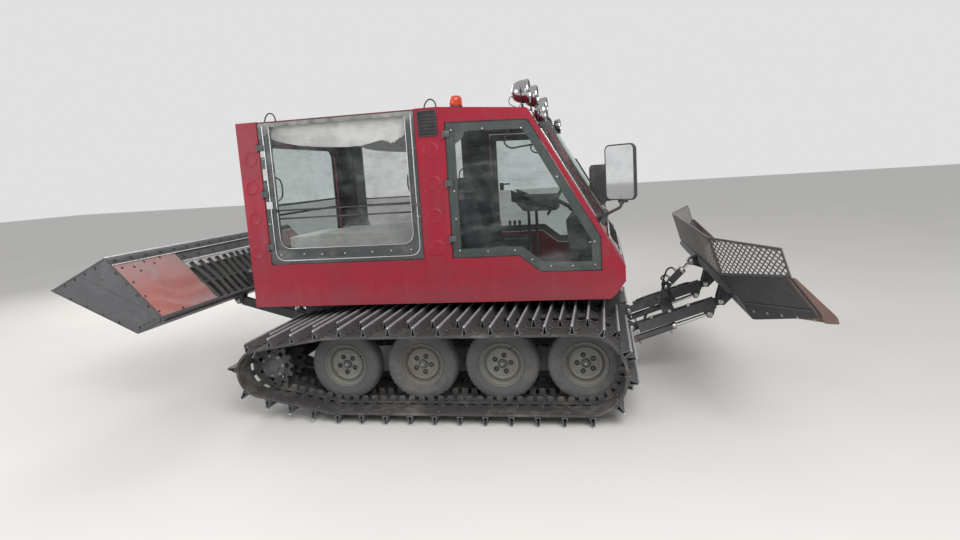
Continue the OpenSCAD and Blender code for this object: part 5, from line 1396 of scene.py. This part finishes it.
def makeBeacon():
    # A dome whose radius waves as a sine round it, with a red core, on a black foot
    x, y = beacon["at"]
    z = roofTop(x - 0.052)
    a = np.linspace(0, 2 * math.pi, 3 * beacon["flutes"], endpoint=False)
    r, h = (np.array(beacon["dome"]).T)[:, :, None]
    r = r + 0.0007 * np.sin(beacon["flutes"] * a)
    dome = gridForm(np.stack([r * np.cos(a), r * np.sin(a), h + 0 * a], -1), closeV=True)
    core = lathe([(0, 0), (0.022, 0), (0.024, 0.05), (0.018, 0.066), (0, 0.068)], 24)
    foot = lathe([(0, -0.004), (0.052, -0.004), (0.054, 0.002), (0.054, 0.013), (0.05, 0.018), (0, 0.018)],
        36)
    makePiece("beacon_dome", placed(dome, (x, y, z)), beaconAmber, replaces="beacon")
    makePiece("beacon_core", placed(core, (x, y, z + 0.0185)), beaconRed)
    makePiece("beacon_foot", placed(foot, (x, y, z)), darkPlastic)


makeMirrors()
makeLamps()
makeBeacon()
print("front fittings done")

# Push frame, cylinders and hoses of the front blade
push = {"pivot": (1.39, 0.44), "pin": (2.15, 0.69), "beamY": 0.43, "pivotY": 0.355,
    "liftFoot": (1.37, 0.33), "liftEye": (2.06, 0.575), "hub": (1.735, 0.744), "bladeEye": (1.965, 0.985)}
softened("push_frame", chassisPaint, 0.004, "push_arms")
softened("blade_lift_barrels", chassisPaint, 0.002, "front_lift_barrels")
softened("blade_lift_rods", chrome, 0.0015, "front_lift_rods")
softened("pitch_barrel", chassisPaint, 0.002, "front_pitch_barrel")
softened("pitch_rod", chrome, 0.0015, "front_pitch_rod")


def between(p, q, y=0, turn=1):
    # Place and axes of a cylinder whose Z runs from p to q in X and Z; turn -1 points its ports the other way
    d = unit((q[0] - p[0], 0, q[1] - p[1]))
    return np.array([p[0], y, p[1]]), np.array([turn * d[2], 0, -turn * d[0]]), np.array([0, turn, 0]), d


def glandForm(r, length, rod):
    # Gland nut with a wiper ring, a port boss near each end with a hose fitting, and the weld round the foot
    nut = lathe([(rod + 0.0005, length - 0.03), (r + 0.003, length - 0.03), (r + 0.004, length - 0.026),
        (r + 0.004, length - 0.004), (r + 0.001, length + 0.002), (rod + 0.004, length + 0.006),
        (rod + 0.0005, length + 0.006)], 24, ring=True)
    weld = lathe([(r - 0.004, 0.046), (r + 0.002, 0.052), (r + 0.0005, 0.06), (r - 0.004, 0.06)], 24,
        ring=True)
    port = joined(lathe([(0, -0.01), (0.013, -0.01), (0.013, 0.008), (0, 0.008)], 14),
        placed(hexHead(0.011, 0.016, False), (0, 0, 0.008)),
        lathe([(0, 0.02), (0.007, 0.02), (0.007, 0.034), (0, 0.034)], 12))
    ports = placed(port, [(-r, 0, h) for h in (0.085, length - 0.055)], (0, 0, 1), (0, 1, 0), (-1, 0, 0))
    return joined(nut, weld, ports)


def pinEnds(*pins):
    # Head, keeper plate and screw at both ends of pins along Y, each given as (place, sides, half length)
    head = lathe([(0, 0), (0.024, 0), (0.024, 0.004), (0.02, 0.007), (0.006, 0.008), (0.005, 0.014),
        (0, 0.015)], 20)
    return joined(*[placed(head, (x, y + s * half, z), (1, 0, 0), (0, 0, -s), (0, s, 0))
        for (x, z), ys, half in pins for y in ys for s in (-1, 1)])


def clipForm(low, high, path, direction):
    # Hose clips, each a small block at a point of the path, lying along it
    along = unit((direction[0], 0, direction[1]))
    side = (0, 1, 0) if along[0] > 0 else (0, -1, 0)
    return placed(boxForm(low, high, 0.003), path, along, side, np.cross(along, side))


def makePushFittings():
    # Glands and ports of the cylinders, their hoses and the ends of all pins of the push frame
    beams, middle = (-push["beamY"], push["beamY"]), (0,)
    # The lift cylinders' ports look down, away from the beams above them
    lifts = [placed(glandForm(0.03, 0.43, 0.017), *between(push["liftFoot"], push["liftEye"], y, -1))
        for y in beams]
    makePiece("blade_lift_fittings", lifts, zincBolt, "front_lift_barrels")
    origin, *axes = between(push["hub"], push["bladeEye"])
    makePiece("pitch_fittings", placed(glandForm(0.034, 0.23, 0.017), origin, *axes), zincBolt,
        "front_pitch_barrel")
    hoses = []
    for y, h in ((-0.052, 0.085), (0.052, 0.175)):
        # From a port back down past the cylinder's foot, in the cylinder's own axes
        route = [(-0.068, 0, h), (-0.089, 0.3 * y, h - 0.012), (-0.094, 0.75 * y, h - 0.055),
            (-0.055, y, 0.035), (-0.028, y, -0.02)]
        hoses.append(tube(origin + curveThrough(route, 24) @ np.array(axes), 0.008))
    makePiece("pitch_hoses", hoses, hoseRubber, "front_pitch_barrel")
    makePiece("frame_pin_ends", pinEnds((push["hub"], middle, 0.047), (push["liftEye"], beams, 0.047)),
        zincBolt, "push_arms")
    makePiece("tub_pin_ends", pinEnds((push["pivot"], (-push["pivotY"], push["pivotY"]), 0.053),
        (push["liftFoot"], beams, 0.047)), zincBolt)
    makePiece("blade_pin_ends", pinEnds((push["pin"], beams, 0.056), (push["bladeEye"], middle, 0.047)),
        zincBolt, "front_blade")


def makeHoses():
    # Rubber lines along the beams, clipped to them, with a loop up to the pitch cylinder's foot
    hoses, clips = [], []
    for k, y in enumerate((-0.455, -0.425)):
        hoses.append(curveThrough([(1.5, y, 0.535 + k * 0.004), (1.56, y + 0.01, 0.64),
            (1.66, y + 0.05 + 0.05 * k, 0.7), (1.76, y + 0.12 + 0.03 * k, 0.68),
            (1.79, 0.06 * k - 0.26, 0.668), (1.77, 0.03 * k - 0.1, 0.7), (1.748, 0.02 * k - 0.072, 0.762),
            (1.742, 0.02 * k - 0.052, 0.8)], 44))
    for y in (-0.452, 0.452):
        hoses.append(curveThrough([(1.47, y, 0.518), (1.56, y, 0.554), (1.7, y, 0.6), (1.85, y, 0.65),
            (1.97, y, 0.688), (2.02, y, 0.69)], 30))
        clips.append(clipForm((-0.014, -0.02, -0.01), (0.014, 0.02, 0.01),
            [(x, y, 0.498 + (x - 1.39) * 0.329) for x in (1.56, 1.72, 1.88)], (0.95, 0.312)))
    makePiece("front_hoses", [tube(path, 0.0085) for path in hoses], hoseRubber, "push_arms")
    makePiece("hose_clips", clips, zincBolt, "push_arms")


makePushFittings()
makeHoses()
print("push frame done")

# Blade: the CAD's plates, with bolted edges, a worn crease and screens of stretched metal above
bladeLine = np.array([(2.255, 0.717), (2.18, 0.85), (2.02, 1.06), (1.935, 1.35)])
bladeUp = unit((bladeLine[3, 0] - bladeLine[0, 0], 0, bladeLine[3, 1] - bladeLine[0, 1]))
wing = {"half": 1.25, "length": 0.93, "angle": math.radians(17.5), "drop": 0.11}
wingEnd = -wing["half"] - wing["length"]
bladeHeights = (bladeLine - bladeLine[0]) @ bladeUp[[0, 2]]
softened("blade", bladeSteel, 0.002, "front_blade")


def onWing(form):
    # Carries a form on the straight blade on to the right wing, which turns about the line from edge to top
    edge = np.array([bladeLine[0, 0], -wing["half"], bladeLine[0, 1]])
    v, c, s = form[0] - edge, math.cos(wing["angle"]), math.sin(wing["angle"])
    return edge + v * c + np.cross(bladeUp, v) * s + np.outer(v @ bladeUp, bladeUp) * (1 - c), form[1]


def bladeFace(height, out=0.0):
    # X and Z of the front face at a height along the line from edge to top; out moves it forward
    return (np.interp(height, bladeHeights, bladeLine[:, 0]) + out,
        np.interp(height, bladeHeights, bladeLine[:, 1]))


def bladeAxes(low, high):
    # Up the blade from one point to another in X and Z, along its width, and out of its face
    up = unit((high[0] - low[0], 0, high[1] - low[1]))
    return up, (0, 1, 0), np.cross(up, (0, 1, 0))


def wallPlate(low, high, y0, y1, depth, gap):
    # A plate between two heights and two sides, depth thick and gap behind the blade's face
    a, b = bladeFace(low, -gap), bladeFace(high, -gap)
    length = math.dist(a, b)
    outline = [(0, y0), (length, y0), (length, y1), (0, y1)]
    return placed(sheetSlab(outline, depth, 0.001), (a[0], 0, a[1]), *bladeAxes(a, b))


def edgeBolts(ys):
    # Heads on the cutting edge's face, and their nuts on the back
    (x, z), (up, across, front) = bladeFace(0.085), bladeAxes(*bladeLine[:2])
    rows = np.array([(x, y, z) for y in ys])
    return joined(placed(panHead(0.013, 0.005), rows + front * 0.0098, up, across, front),
        placed(hexHead(0.012, 0.01), rows - front * 0.0125, up, (0, -1, 0), -front))


def makeBladeTrim():
    # Bolted cutting edges, rusty end strips with shields across the wings' ends, and the worn crease
    half, (h1, top) = wing["half"], bladeHeights[1:3]
    middle = wallPlate(0.004, h1 - 0.015, -half + 0.006, half - 0.006, 0.009, -0.001)
    edge = wallPlate(0.075, h1 - 0.015, wingEnd + 0.012, -half - 0.02, 0.009, -0.001)
    makePiece("cutting_edges", [middle, bothSides(onWing(edge))], edgeSteel, "front_blade")
    wingBolts = edgeBolts(np.linspace(wingEnd + 0.09, -half - 0.1, 5))
    makePiece("edge_bolts", [edgeBolts(np.linspace(-half + 0.08, half - 0.08, 12)),
        bothSides(onWing(wingBolts))], zincBolt, "front_blade")
    ends = [wallPlate(low, high, wingEnd + 0.002, wingEnd + 0.03, 0.004, 0.016)
        for low, high in ((0.115, h1), (h1, top))]
    shield = [bladeFace(h, out) for h, out in ((0.062, -0.01), (h1, -0.012), (top, -0.01), (top, 0.02),
        (h1, 0.07), (0.1, 0.09), (0.05, 0.078))]
    ends.append(sidePlate(rounded(shield, 0.012, 3), wingEnd + 0.01, 0.009, 0.0015))
    x, z = bladeFace(h1)
    crease = tube([(x - 0.0135, y, z - 0.002) for y in np.linspace(wingEnd + 0.05, -half - 0.06, 10)],
        0.0045, 8)
    makePiece("wing_end_plates", bothSides(onWing(joined(*ends))), endSteel, "front_blade")
    makePiece("wing_creases", bothSides(onWing(crease)), screenMetal, "front_blade")


# Stretched metal: step of the holes along and across, plain margin, and a quarter of a hole's outline
netting = {"long": 0.068, "short": 0.04, "margin": 0.018, "start": 0.026, "thick": 0.003, "least": 0.00008,
    "hole": ((0.0142, 0), (0.0115, 0.0055), (0, 0.025), (-0.0115, 0.0055), (-0.0142, 0), (-0.0115, -0.0055),
    (0, -0.025), (0.0115, -0.0055))}


def clipped(shape, outline):
    # What is left of a convex shape inside a convex outline that runs anticlockwise, without very short edges
    points = [np.array(p, float) for p in shape]
    for a, b in zip(outline, np.roll(outline, -1, 0)):
        inward = unit((a[1] - b[1], b[0] - a[0]))
        kept = []
        for p, q in zip(points, points[1:] + points[:1]):
            dp, dq = (p - a) @ inward, (q - a) @ inward
            if dp >= 0:
                kept.append(p)
            if dp * dq < 0:
                kept.append(p + (q - p) * dp / (dp - dq))
        points = kept
    thin = np.array([p for p, q in zip(points, points[1:] + points[:1]) if np.linalg.norm(p - q) > 0.002])
    if len(thin) < 3:
        return None
    x, y = thin.T
    area = 0.5 * abs(np.dot(x, np.roll(y, -1)) - np.dot(y, np.roll(x, -1)))
    return thin if area > netting["least"] else None


def perforated(y0, y1, drop):
    # A flat sheet between two sides with staggered diamond holes; its top falls by drop towards y0
    (xa, za), (xb, zb) = bladeLine[2:]
    length, m, long, short = math.hypot(xb - xa, zb
        - za), netting["margin"], netting["long"], netting["short"]
    top = length - drop * length / abs(bladeUp[0] * (xb - xa) + bladeUp[2] * (zb - za))
    outline = np.array([(0, y0), (top, y0), (length, y1), (0, y1)])
    window = np.array([(m, y0 + m), (top - m, y0 + m), (length - m, y1 - m), (m, y1 - m)])
    places = [(netting["start"] + i * short / 2, v) for i in range(int(length / short * 2) + 1)
        for v in np.arange(y0 + (i % 2) * long / 2, y1 + long / 2, long)]
    holes = [clipped(np.array(netting["hole"]) + place, window) for place in places]
    form = holedPlate(outline, [hole for hole in holes if hole is not None], 0, netting["thick"])
    return placed(form, (xa - 0.005, 0, za + 0.0006), *bladeAxes(*bladeLine[2:]))


def makeScreens():
    # Sheets with a rolled top edge, a foot strip, end strips and uprights behind
    half, drop = wing["half"], wing["drop"]
    sheets = [perforated(-half, half, 0), bothSides(onWing(perforated(wingEnd, -half, drop)))]
    makePiece("blade_screens", sheets, screenMetal, "front_blade", replaces="blade_screen")
    up, front = bladeAxes(*bladeLine[2:])[::2]
    foot, top = (np.array([x - 0.0035, 0, z]) for x, z in bladeLine[2:])
    endTop = top - up * drop / (up @ bladeUp)

    def strip(a, ya, b, yb, width, depth, rise=(0, 0), back=0.0):
        # A flat bar from a to b, each at its own y, moved up by rise and back behind the sheet
        a, b = (p + [0, y, 0] + up * r - front * back for p, y, r in ((a, ya, rise[0]), (b, yb, rise[1])))
        return sweptBar(a + (b - a) * np.linspace(0, 1, 5)[:, None], depth, width, front, 0.002)

    straight = [strip(top, -half, top, half, 0.008, 0.014, (-0.006, -0.006)),
        strip(foot, -half, foot, half, 0.007, 0.02, (0.01, 0.01))]
    straight += [strip(foot, y, top, y, 0.008, 0.026, (0, -0.004), 0.006)
        for y in (-1.235, -0.62, 0, 0.62, 1.235)]
    wings = [strip(endTop, wingEnd, top, -half, 0.008, 0.014, (-0.006, -0.006)),
        strip(foot, wingEnd, foot, -half, 0.007, 0.02, (0.01, 0.01)),
        strip(foot, wingEnd + 0.012, endTop, wingEnd + 0.012, 0.008, 0.022, (0, -0.004)),
        strip(foot, -half - 0.016, top, -half - 0.016, 0.008, 0.024, (0, -0.004), 0.004)]
    # The frames' light steel holds painted sunlight on the bars as well as dust
    makePiece("screen_frames", [*straight, bothSides(onWing(joined(*wings)))], frameSteelPaintedSun,
        "front_blade")


makeBladeTrim()
makeScreens()
print("blade done")

# Rear lift: arms, cylinders and top link
rear = {"armPin": (-1.8, 0.56), "boardPin": (-2.56, 0.785), "armY": 0.3, "cylFoot": (-1.805, 0.48),
    "cylEye": (-2.15, 0.781), "cylY": 0.15, "linkPin": (-1.8, 0.68), "linkEye": (-2.58, 1.035)}
softened("rear_arms", chassisPaint, 0.004, "lift_arms")
softened("board_lift_barrels", chassisPaint, 0.002, "rear_lift_barrels")
softened("board_lift_rods", chrome, 0.0015, "rear_lift_rods")
softened("top_link", chassisPaint, 0.003, "levelling_link")


def makeRearFittings():
    # Glands and ports of the lift cylinders, the top link's sleeve, pin ends, and hoses along the arms
    arms, cylinders, middle = (-rear["armY"], rear["armY"]), (-rear["cylY"], rear["cylY"]), (0,)
    glands = [placed(glandForm(0.032, 0.27, 0.016), *between(rear["cylFoot"], rear["cylEye"], y))
        for y in cylinders]
    makePiece("board_lift_fittings", glands, zincBolt, "rear_lift_barrels")
    sleeve = joined(lathe([(0, 0.2), (0.03, 0.2), (0.031, 0.204), (0.031, 0.6), (0.03, 0.604), (0, 0.604)],
        24), placed(hexHead(0.034, 0.022, False), [(0, 0, 0.604), (0, 0, 0.178)]))
    makePiece("top_link_sleeve", placed(sleeve, *between(rear["linkPin"], rear["linkEye"])), castMetal,
        "levelling_link")
    makePiece("rear_tub_pin_ends", pinEnds((rear["armPin"], arms, 0.059),
        (rear["cylFoot"], cylinders, 0.047), (rear["linkPin"], middle, 0.047)), zincBolt)
    makePiece("arm_pin_ends", pinEnds((rear["cylEye"], cylinders, 0.047)), zincBolt, "lift_arms")
    makePiece("board_pin_ends", pinEnds((rear["boardPin"], arms, 0.059), (rear["linkEye"], middle, 0.047)),
        zincBolt, "smoothing_board")
    hoses, clips = [], []
    for y in (-0.282, 0.282):
        path = [(-1.85, y, 0.624), (-1.95, y, 0.654), (-2.08, y, 0.693), (-2.2, y, 0.728),
            (-2.26, y * 0.9, 0.742)]
        hoses.append(tube(curveThrough(path, 26), 0.0085))
        clips.append(clipForm((-0.012, -0.018, -0.008), (0.012, 0.018, 0.012),
            [(x, y, 0.607 - (x + 1.8) * 0.296) for x in (-1.96, -2.14)], (-0.959, 0.284)))
    makePiece("rear_hoses", hoses, hoseRubber, "lift_arms")
    makePiece("rear_hose_clips", clips, zincBolt, "lift_arms")


makeRearFittings()

# Smoothing board: box ends, rails, treads between, and the two scarred red plates
board = {"top": (-2.957, 1.423), "front": (-2.462, 0.879), "foot": (-2.74, 0.762), "tail": (-3.539, 1.156),
    "half": 1.6, "cover": 0.8, "welds": 14, "holes": ((0.135, -1.52), (0.15, -1.39), (0.205, -1.36),
    (0.118, -1.24), (0.108, -1.02), (0.155, -1.14), (0.3, -1.545), (0.46, -1.56), (0.64, -1.57),
    (0.68, -1.3))}
boardTop, boardFront, boardFoot = (np.array([board[k][0], 0, board[k][1]]) for k in ("top", "front", "foot"))
slantLength = float(np.linalg.norm(boardFront - boardTop))
slant = unit(boardFront - boardTop)
slantOut = np.array([-slant[2], 0, slant[0]])
onBoard = (slant, (0, 1, 0), slantOut)
softened("board_frame", boardSteel, 0.0022, "smoothing_board")


def onSlant(s, y=0, out=0):
    # Points of the board's sloping top face: s metres down from its edge, y to the left and out above it
    s, y, out = (np.asarray(v, float)[..., None] for v in np.broadcast_arrays(s, y, out))
    return boardTop + slant * s + slantOut * out + np.array([0, 1, 0]) * y


def ripple(s, y):
    # Dents and creases of a plate that has been walked on and bent: waves, one hollow and one bulge
    folds = np.sin(s * 34 - y * 9 + np.sin(y * 7) * 1.6) * 0.0042 * np.clip((s - 0.3) * 4, 0, 1)
    hollow = -0.016 * np.exp(-((s - 0.5) / 0.12) ** 2 - ((y + 1.15) / 0.28) ** 2)
    bulge = 0.01 * np.exp(-((s - 0.38) / 0.08) ** 2 - ((y + 0.98) / 0.12) ** 2)
    return folds + hollow + bulge + np.sin(y * 19 + s * 6) * 0.0012


def makeCovers():
    # Red plates between the rail and the front foot, thin and rippled, with a ragged lower edge
    lowest = slantLength - 0.016
    s, y = np.meshgrid(np.linspace(0.092, lowest, 40),
        np.linspace(-board["half"] + 0.01, -board["cover"] - 0.001, 44), indexing="ij")
    ragged = np.clip((s - lowest + 0.06) / 0.06, 0, 1) * (0.006 * np.sin(y * 41) + 0.004 * np.sin(y * 97))
    s = s - ragged * 0.8 - np.clip((s - 0.45) / 0.1, 0, 1) * 0.004
    top, under = (onSlant(s, y, ripple(s, y) + out) for out in (0.0005, -0.0045))
    form = gridForm(np.concatenate([top, under[:, ::-1]], axis=1), closeV=True, capStart=True, capEnd=True)
    makePiece("board_plates", bothSides(form), boardPaint, "smoothing_board", "board_cover",
        50)
    s, y = np.array(board["holes"]).T
    heads = placed(panHead(0.013, 0.004), onSlant(s, y, ripple(s, y) + 0.0008), *onBoard)
    makePiece("plate_bolts", bothSides(heads), blackBolt, "smoothing_board")


def makeBoardRails():
    # Bright edge strips along the top, a bolted cap below them, and angles along the front foot
    half, cover = board["half"], board["cover"]
    ys, inner = (np.linspace(-w, w, n) for w, n in ((half - 0.004, 12), (cover - 0.004, 8)))
    edges = [sweptBar(onSlant(0, ys) + [0.004, 0, -0.002], 0.016, 0.008, slantOut, 0.002),
        sweptBar(onSlant(0.093, ys, 0.004), 0.012, 0.008, slantOut, 0.002),
        sweptBar(onSlant(0.205, np.linspace(0.01 - cover, cover - 0.01, 8), -0.004), 0.018, 0.01, slantOut,
        0.002)]
    makePiece("board_edges", edges, trimMetal, "smoothing_board")
    rails = [sweptBar(onSlant(0.148, inner, -0.007), 0.11, 0.006, slantOut, 0.001),
        sweptBar(onSlant(0.05, ys, 0.0035), 0.07, 0.006, slantOut, 0.0015),
        sweptBar(onSlant(slantLength - 0.022, ys, 0.004), 0.034, 0.006, slantOut, 0.001),
        sweptBar(onSlant(slantLength - 0.005, ys, 0.014), 0.006, 0.024, slantOut, 0.001),
        sweptBar([boardFront * 0.86 + boardFoot * 0.14 + [0.004, y, -0.004] for y in ys], 0.05, 0.008,
        unit((0.4, 0, -0.95)), 0.001)]
    makePiece("board_rails", rails, boardSteel, "smoothing_board")
    spots = [onSlant(0.05, np.arange(-half + 0.07, half, 0.192), 0.0062),
        onSlant(0.15, np.arange(-cover + 0.09, cover, 0.24), -0.0045)]
    makePiece("rail_bolts", placed(hexHead(0.012, 0.008), np.concatenate(spots), *onBoard), blackBolt,
        "smoothing_board")


def makeBoardBay():
    # The open middle: wavy treads on cross bars, a sloping floor plate, and walls beside the red plates
    cover, s = board["cover"], np.linspace(0.2, slantLength - 0.05, 7)
    treads = [sweptBar(onSlant(s, y + 0.02 * np.sin(s * 9 + y * 5), -0.052 - 0.01 * np.sin(s * 5)), 0.055,
        0.02, slantOut, 0.006) for y in np.linspace(-cover + 0.08, cover - 0.08, 12)]
    makePiece("board_treads", treads, treadMetal, "smoothing_board")
    bay = [bar(onSlant(s, -cover - 0.004, -0.072), onSlant(s, cover + 0.004, -0.072), 0.013)
        for s in (0.26, 0.46, 0.64)]
    wall = rounded([(0.195, -0.002), (slantLength - 0.02, -0.002), (slantLength - 0.02, -0.1),
        (0.195, -0.16)], 0.01, 3)
    bay.append(placed(sheetSlab(wall, 0.006, 0.001),
        [boardTop + [0, y + 0.003, 0] for y in (-cover, cover)], slant, slantOut, (0, -1, 0)))
    bay.append(sweptBar(onSlant(0.44, np.linspace(-cover, cover, 8), -0.118), slantLength - 0.3, 0.006,
        slantOut, 0.001))
    makePiece("board_bay", bay, boardSteel, "smoothing_board")


def makeBoardEnds():
    # Weld beads along the side plates' edges and across, bolts inside them, and a skid under the foot
    section = np.array([board[k] for k in ("top", "front", "foot", "tail")])
    middle, y = section.mean(0), -board["half"]

    def weld(a, b, start, stop, out, r):
        # A thin round bead on the side plate between shares of the way from a to b
        t = np.linspace(start, stop, board["welds"])[:, None]
        x, z = (a * (1 - t) + b * t).T
        return tube(np.column_stack([x, 0 * x + y - out, z]), r, 6)

    corners = section + (middle - section) * 0.03
    welds = [weld(a, b, 0.02, 0.98, 0.001, 0.0042) for a, b in zip(corners, np.roll(corners, -1, 0))]
    welds.append(weld(section[1], (section[0] + section[3]) / 2, 0.06, 0.97, 0.0006, 0.0025))
    inner = section + (middle - section) * np.array([[0.1], [0.12], [0.12], [0.07]])
    spots = np.concatenate([np.linspace(a, b, 5, endpoint=False)[1:]
        for a, b in zip(inner, np.roll(inner, -1, 0))])
    skid = rounded([(-2.66, 0.8), (-2.5, 0.868), (-2.5, 0.9), (-2.66, 0.836)], 0.008, 3)
    makePiece("board_welds", bothSides(*welds), boardSteel, "smoothing_board")
    makePiece("board_end_bolts", bothSides(rightBolts(spots, y - 0.0005, hexHead(0.01, 0.006))), blackBolt,
        "smoothing_board")
    makePiece("board_skids", bothSides(sidePlate(skid, y + 0.0005, 0.009)), skidSteel,
        "smoothing_board")


makeCovers()
makeBoardRails()
makeBoardBay()
makeBoardEnds()
print("board done")

# Chassis: the tub with its final drives and axles, and bolts
tub = {"side": -0.47, "rear": -1.745, "front": 1.275, "under": 0.3195, "mounts": (-1.55, -0.45, 0.45, 1.05)}
softened("chassis_tub", chassisPaint)
softened("final_drives", castMetal, 0.004)
softened("axles", chassisPaint)
dress("engine_block", castMetal)


def makeChassisTrim():
    # Bolts round the drives and axles, ribs and seams of the sides, belly bolts, and mounts under the body
    side, rearEnd, frontEnd = tub["side"], tub["rear"], tub["front"]
    heads = [rightBolts(circle(0.088, 10, *gear["sprocket"]), side - 0.06, hexHead(0.009, 0.007))]
    heads += [rightBolts(circle(0.058, 6, x, gear["wheelZ"]), side - 0.0143, hexHead(0.008, 0.006))
        for x in gear["wheelXs"]]
    makePiece("chassis_bolts", bothSides(*heads), zincBolt)
    ribs = [boxForm((x - 0.005, side - 0.028, 0.335), (x + 0.005, side + 0.002, 0.845), 0.002)
        for x in np.arange(-1.36, 1.25, 0.3325)]
    ribs += [boxForm((rearEnd, side - 0.006, 0.338), (frontEnd, side + 0.001, 0.346), 0.002),
        boxForm((rearEnd, side - 0.03, 0.838), (frontEnd, side + 0.001, 0.85), 0.003)]
    makePiece("tub_ribs", bothSides(*ribs), chassisPaint)
    rows = [(x, y, tub["under"]) for x in np.arange(-1.6, 1.25, 0.19) for y in (-0.42, 0.42)]
    plugs = placed(hexHead(0.022, 0.01), [(x, 0, tub["under"]) for x in (-1, 0.2)], *toGround)
    makePiece("belly_bolts", [placed(hexHead(0.009, 0.006), rows, *toGround), plugs], zincBolt)
    outriggers = [boxForm((x - 0.03, -0.9, 0.815), (x + 0.03, side + 0.002, 0.852)) for x in tub["mounts"]]
    blocks = [boxForm((x - 0.028, -0.895, 0.851), (x + 0.028, -0.835, 0.861), 0.003) for x in tub["mounts"]]
    makePiece("body_mounts", [bothSides(*outriggers), bothSides(*blocks)], [chassisPaint, sealRubber])


def makeRearPanel():
    # Below the rear window: two blank lamp clusters, a bare plate holder and a vent
    x, outer = body["rear"], (-0.93, 0.93)
    lamp = slab(roundRect(0.1, 0.22, 0.014), [(-0.001, 0), (0.018, 0), (0.026, 0.006), (0.027, 0.012)])
    lens = slab(roundRect(0.08, 0.1, 0.01), [(0.024, 0), (0.029, 0.001), (0.031, 0.006)])
    clusters = [placed(form, [(x, y, z) for y in outer], *toRear)
        for form, z in ((lamp, 1.06), (lens, 1.11), (lens, 1.01))]
    makePiece("tail_lamps", clusters, [darkPlastic, beaconRed, beaconAmber])
    plate = slab(roundRect(0.34, 0.12, 0.008, 4), [(-0.001, 0), (0.003, 0), (0.004, 0.001)])
    lid = slab(roundRect(0.9, 0.24, 0.02), [(-0.001, 0), (0.003, 0), (0.006, 0.003)])
    slats = placed(boxForm((-0.38, -0.006, 0.004), (0.38, 0.006, 0.014), 0.002),
        [(x, 0, 1.02 + k * 0.022) for k in range(8)], *toRear)
    makePiece("rear_panel", [placed(plate, (x, -0.62, 1.06), *toRear), placed(lid, (x, 0, 1.095), *toRear),
        slats], [palePlastic, bodyPaint, blackBolt])


makeChassisTrim()
makeRearPanel()
print("chassis done")
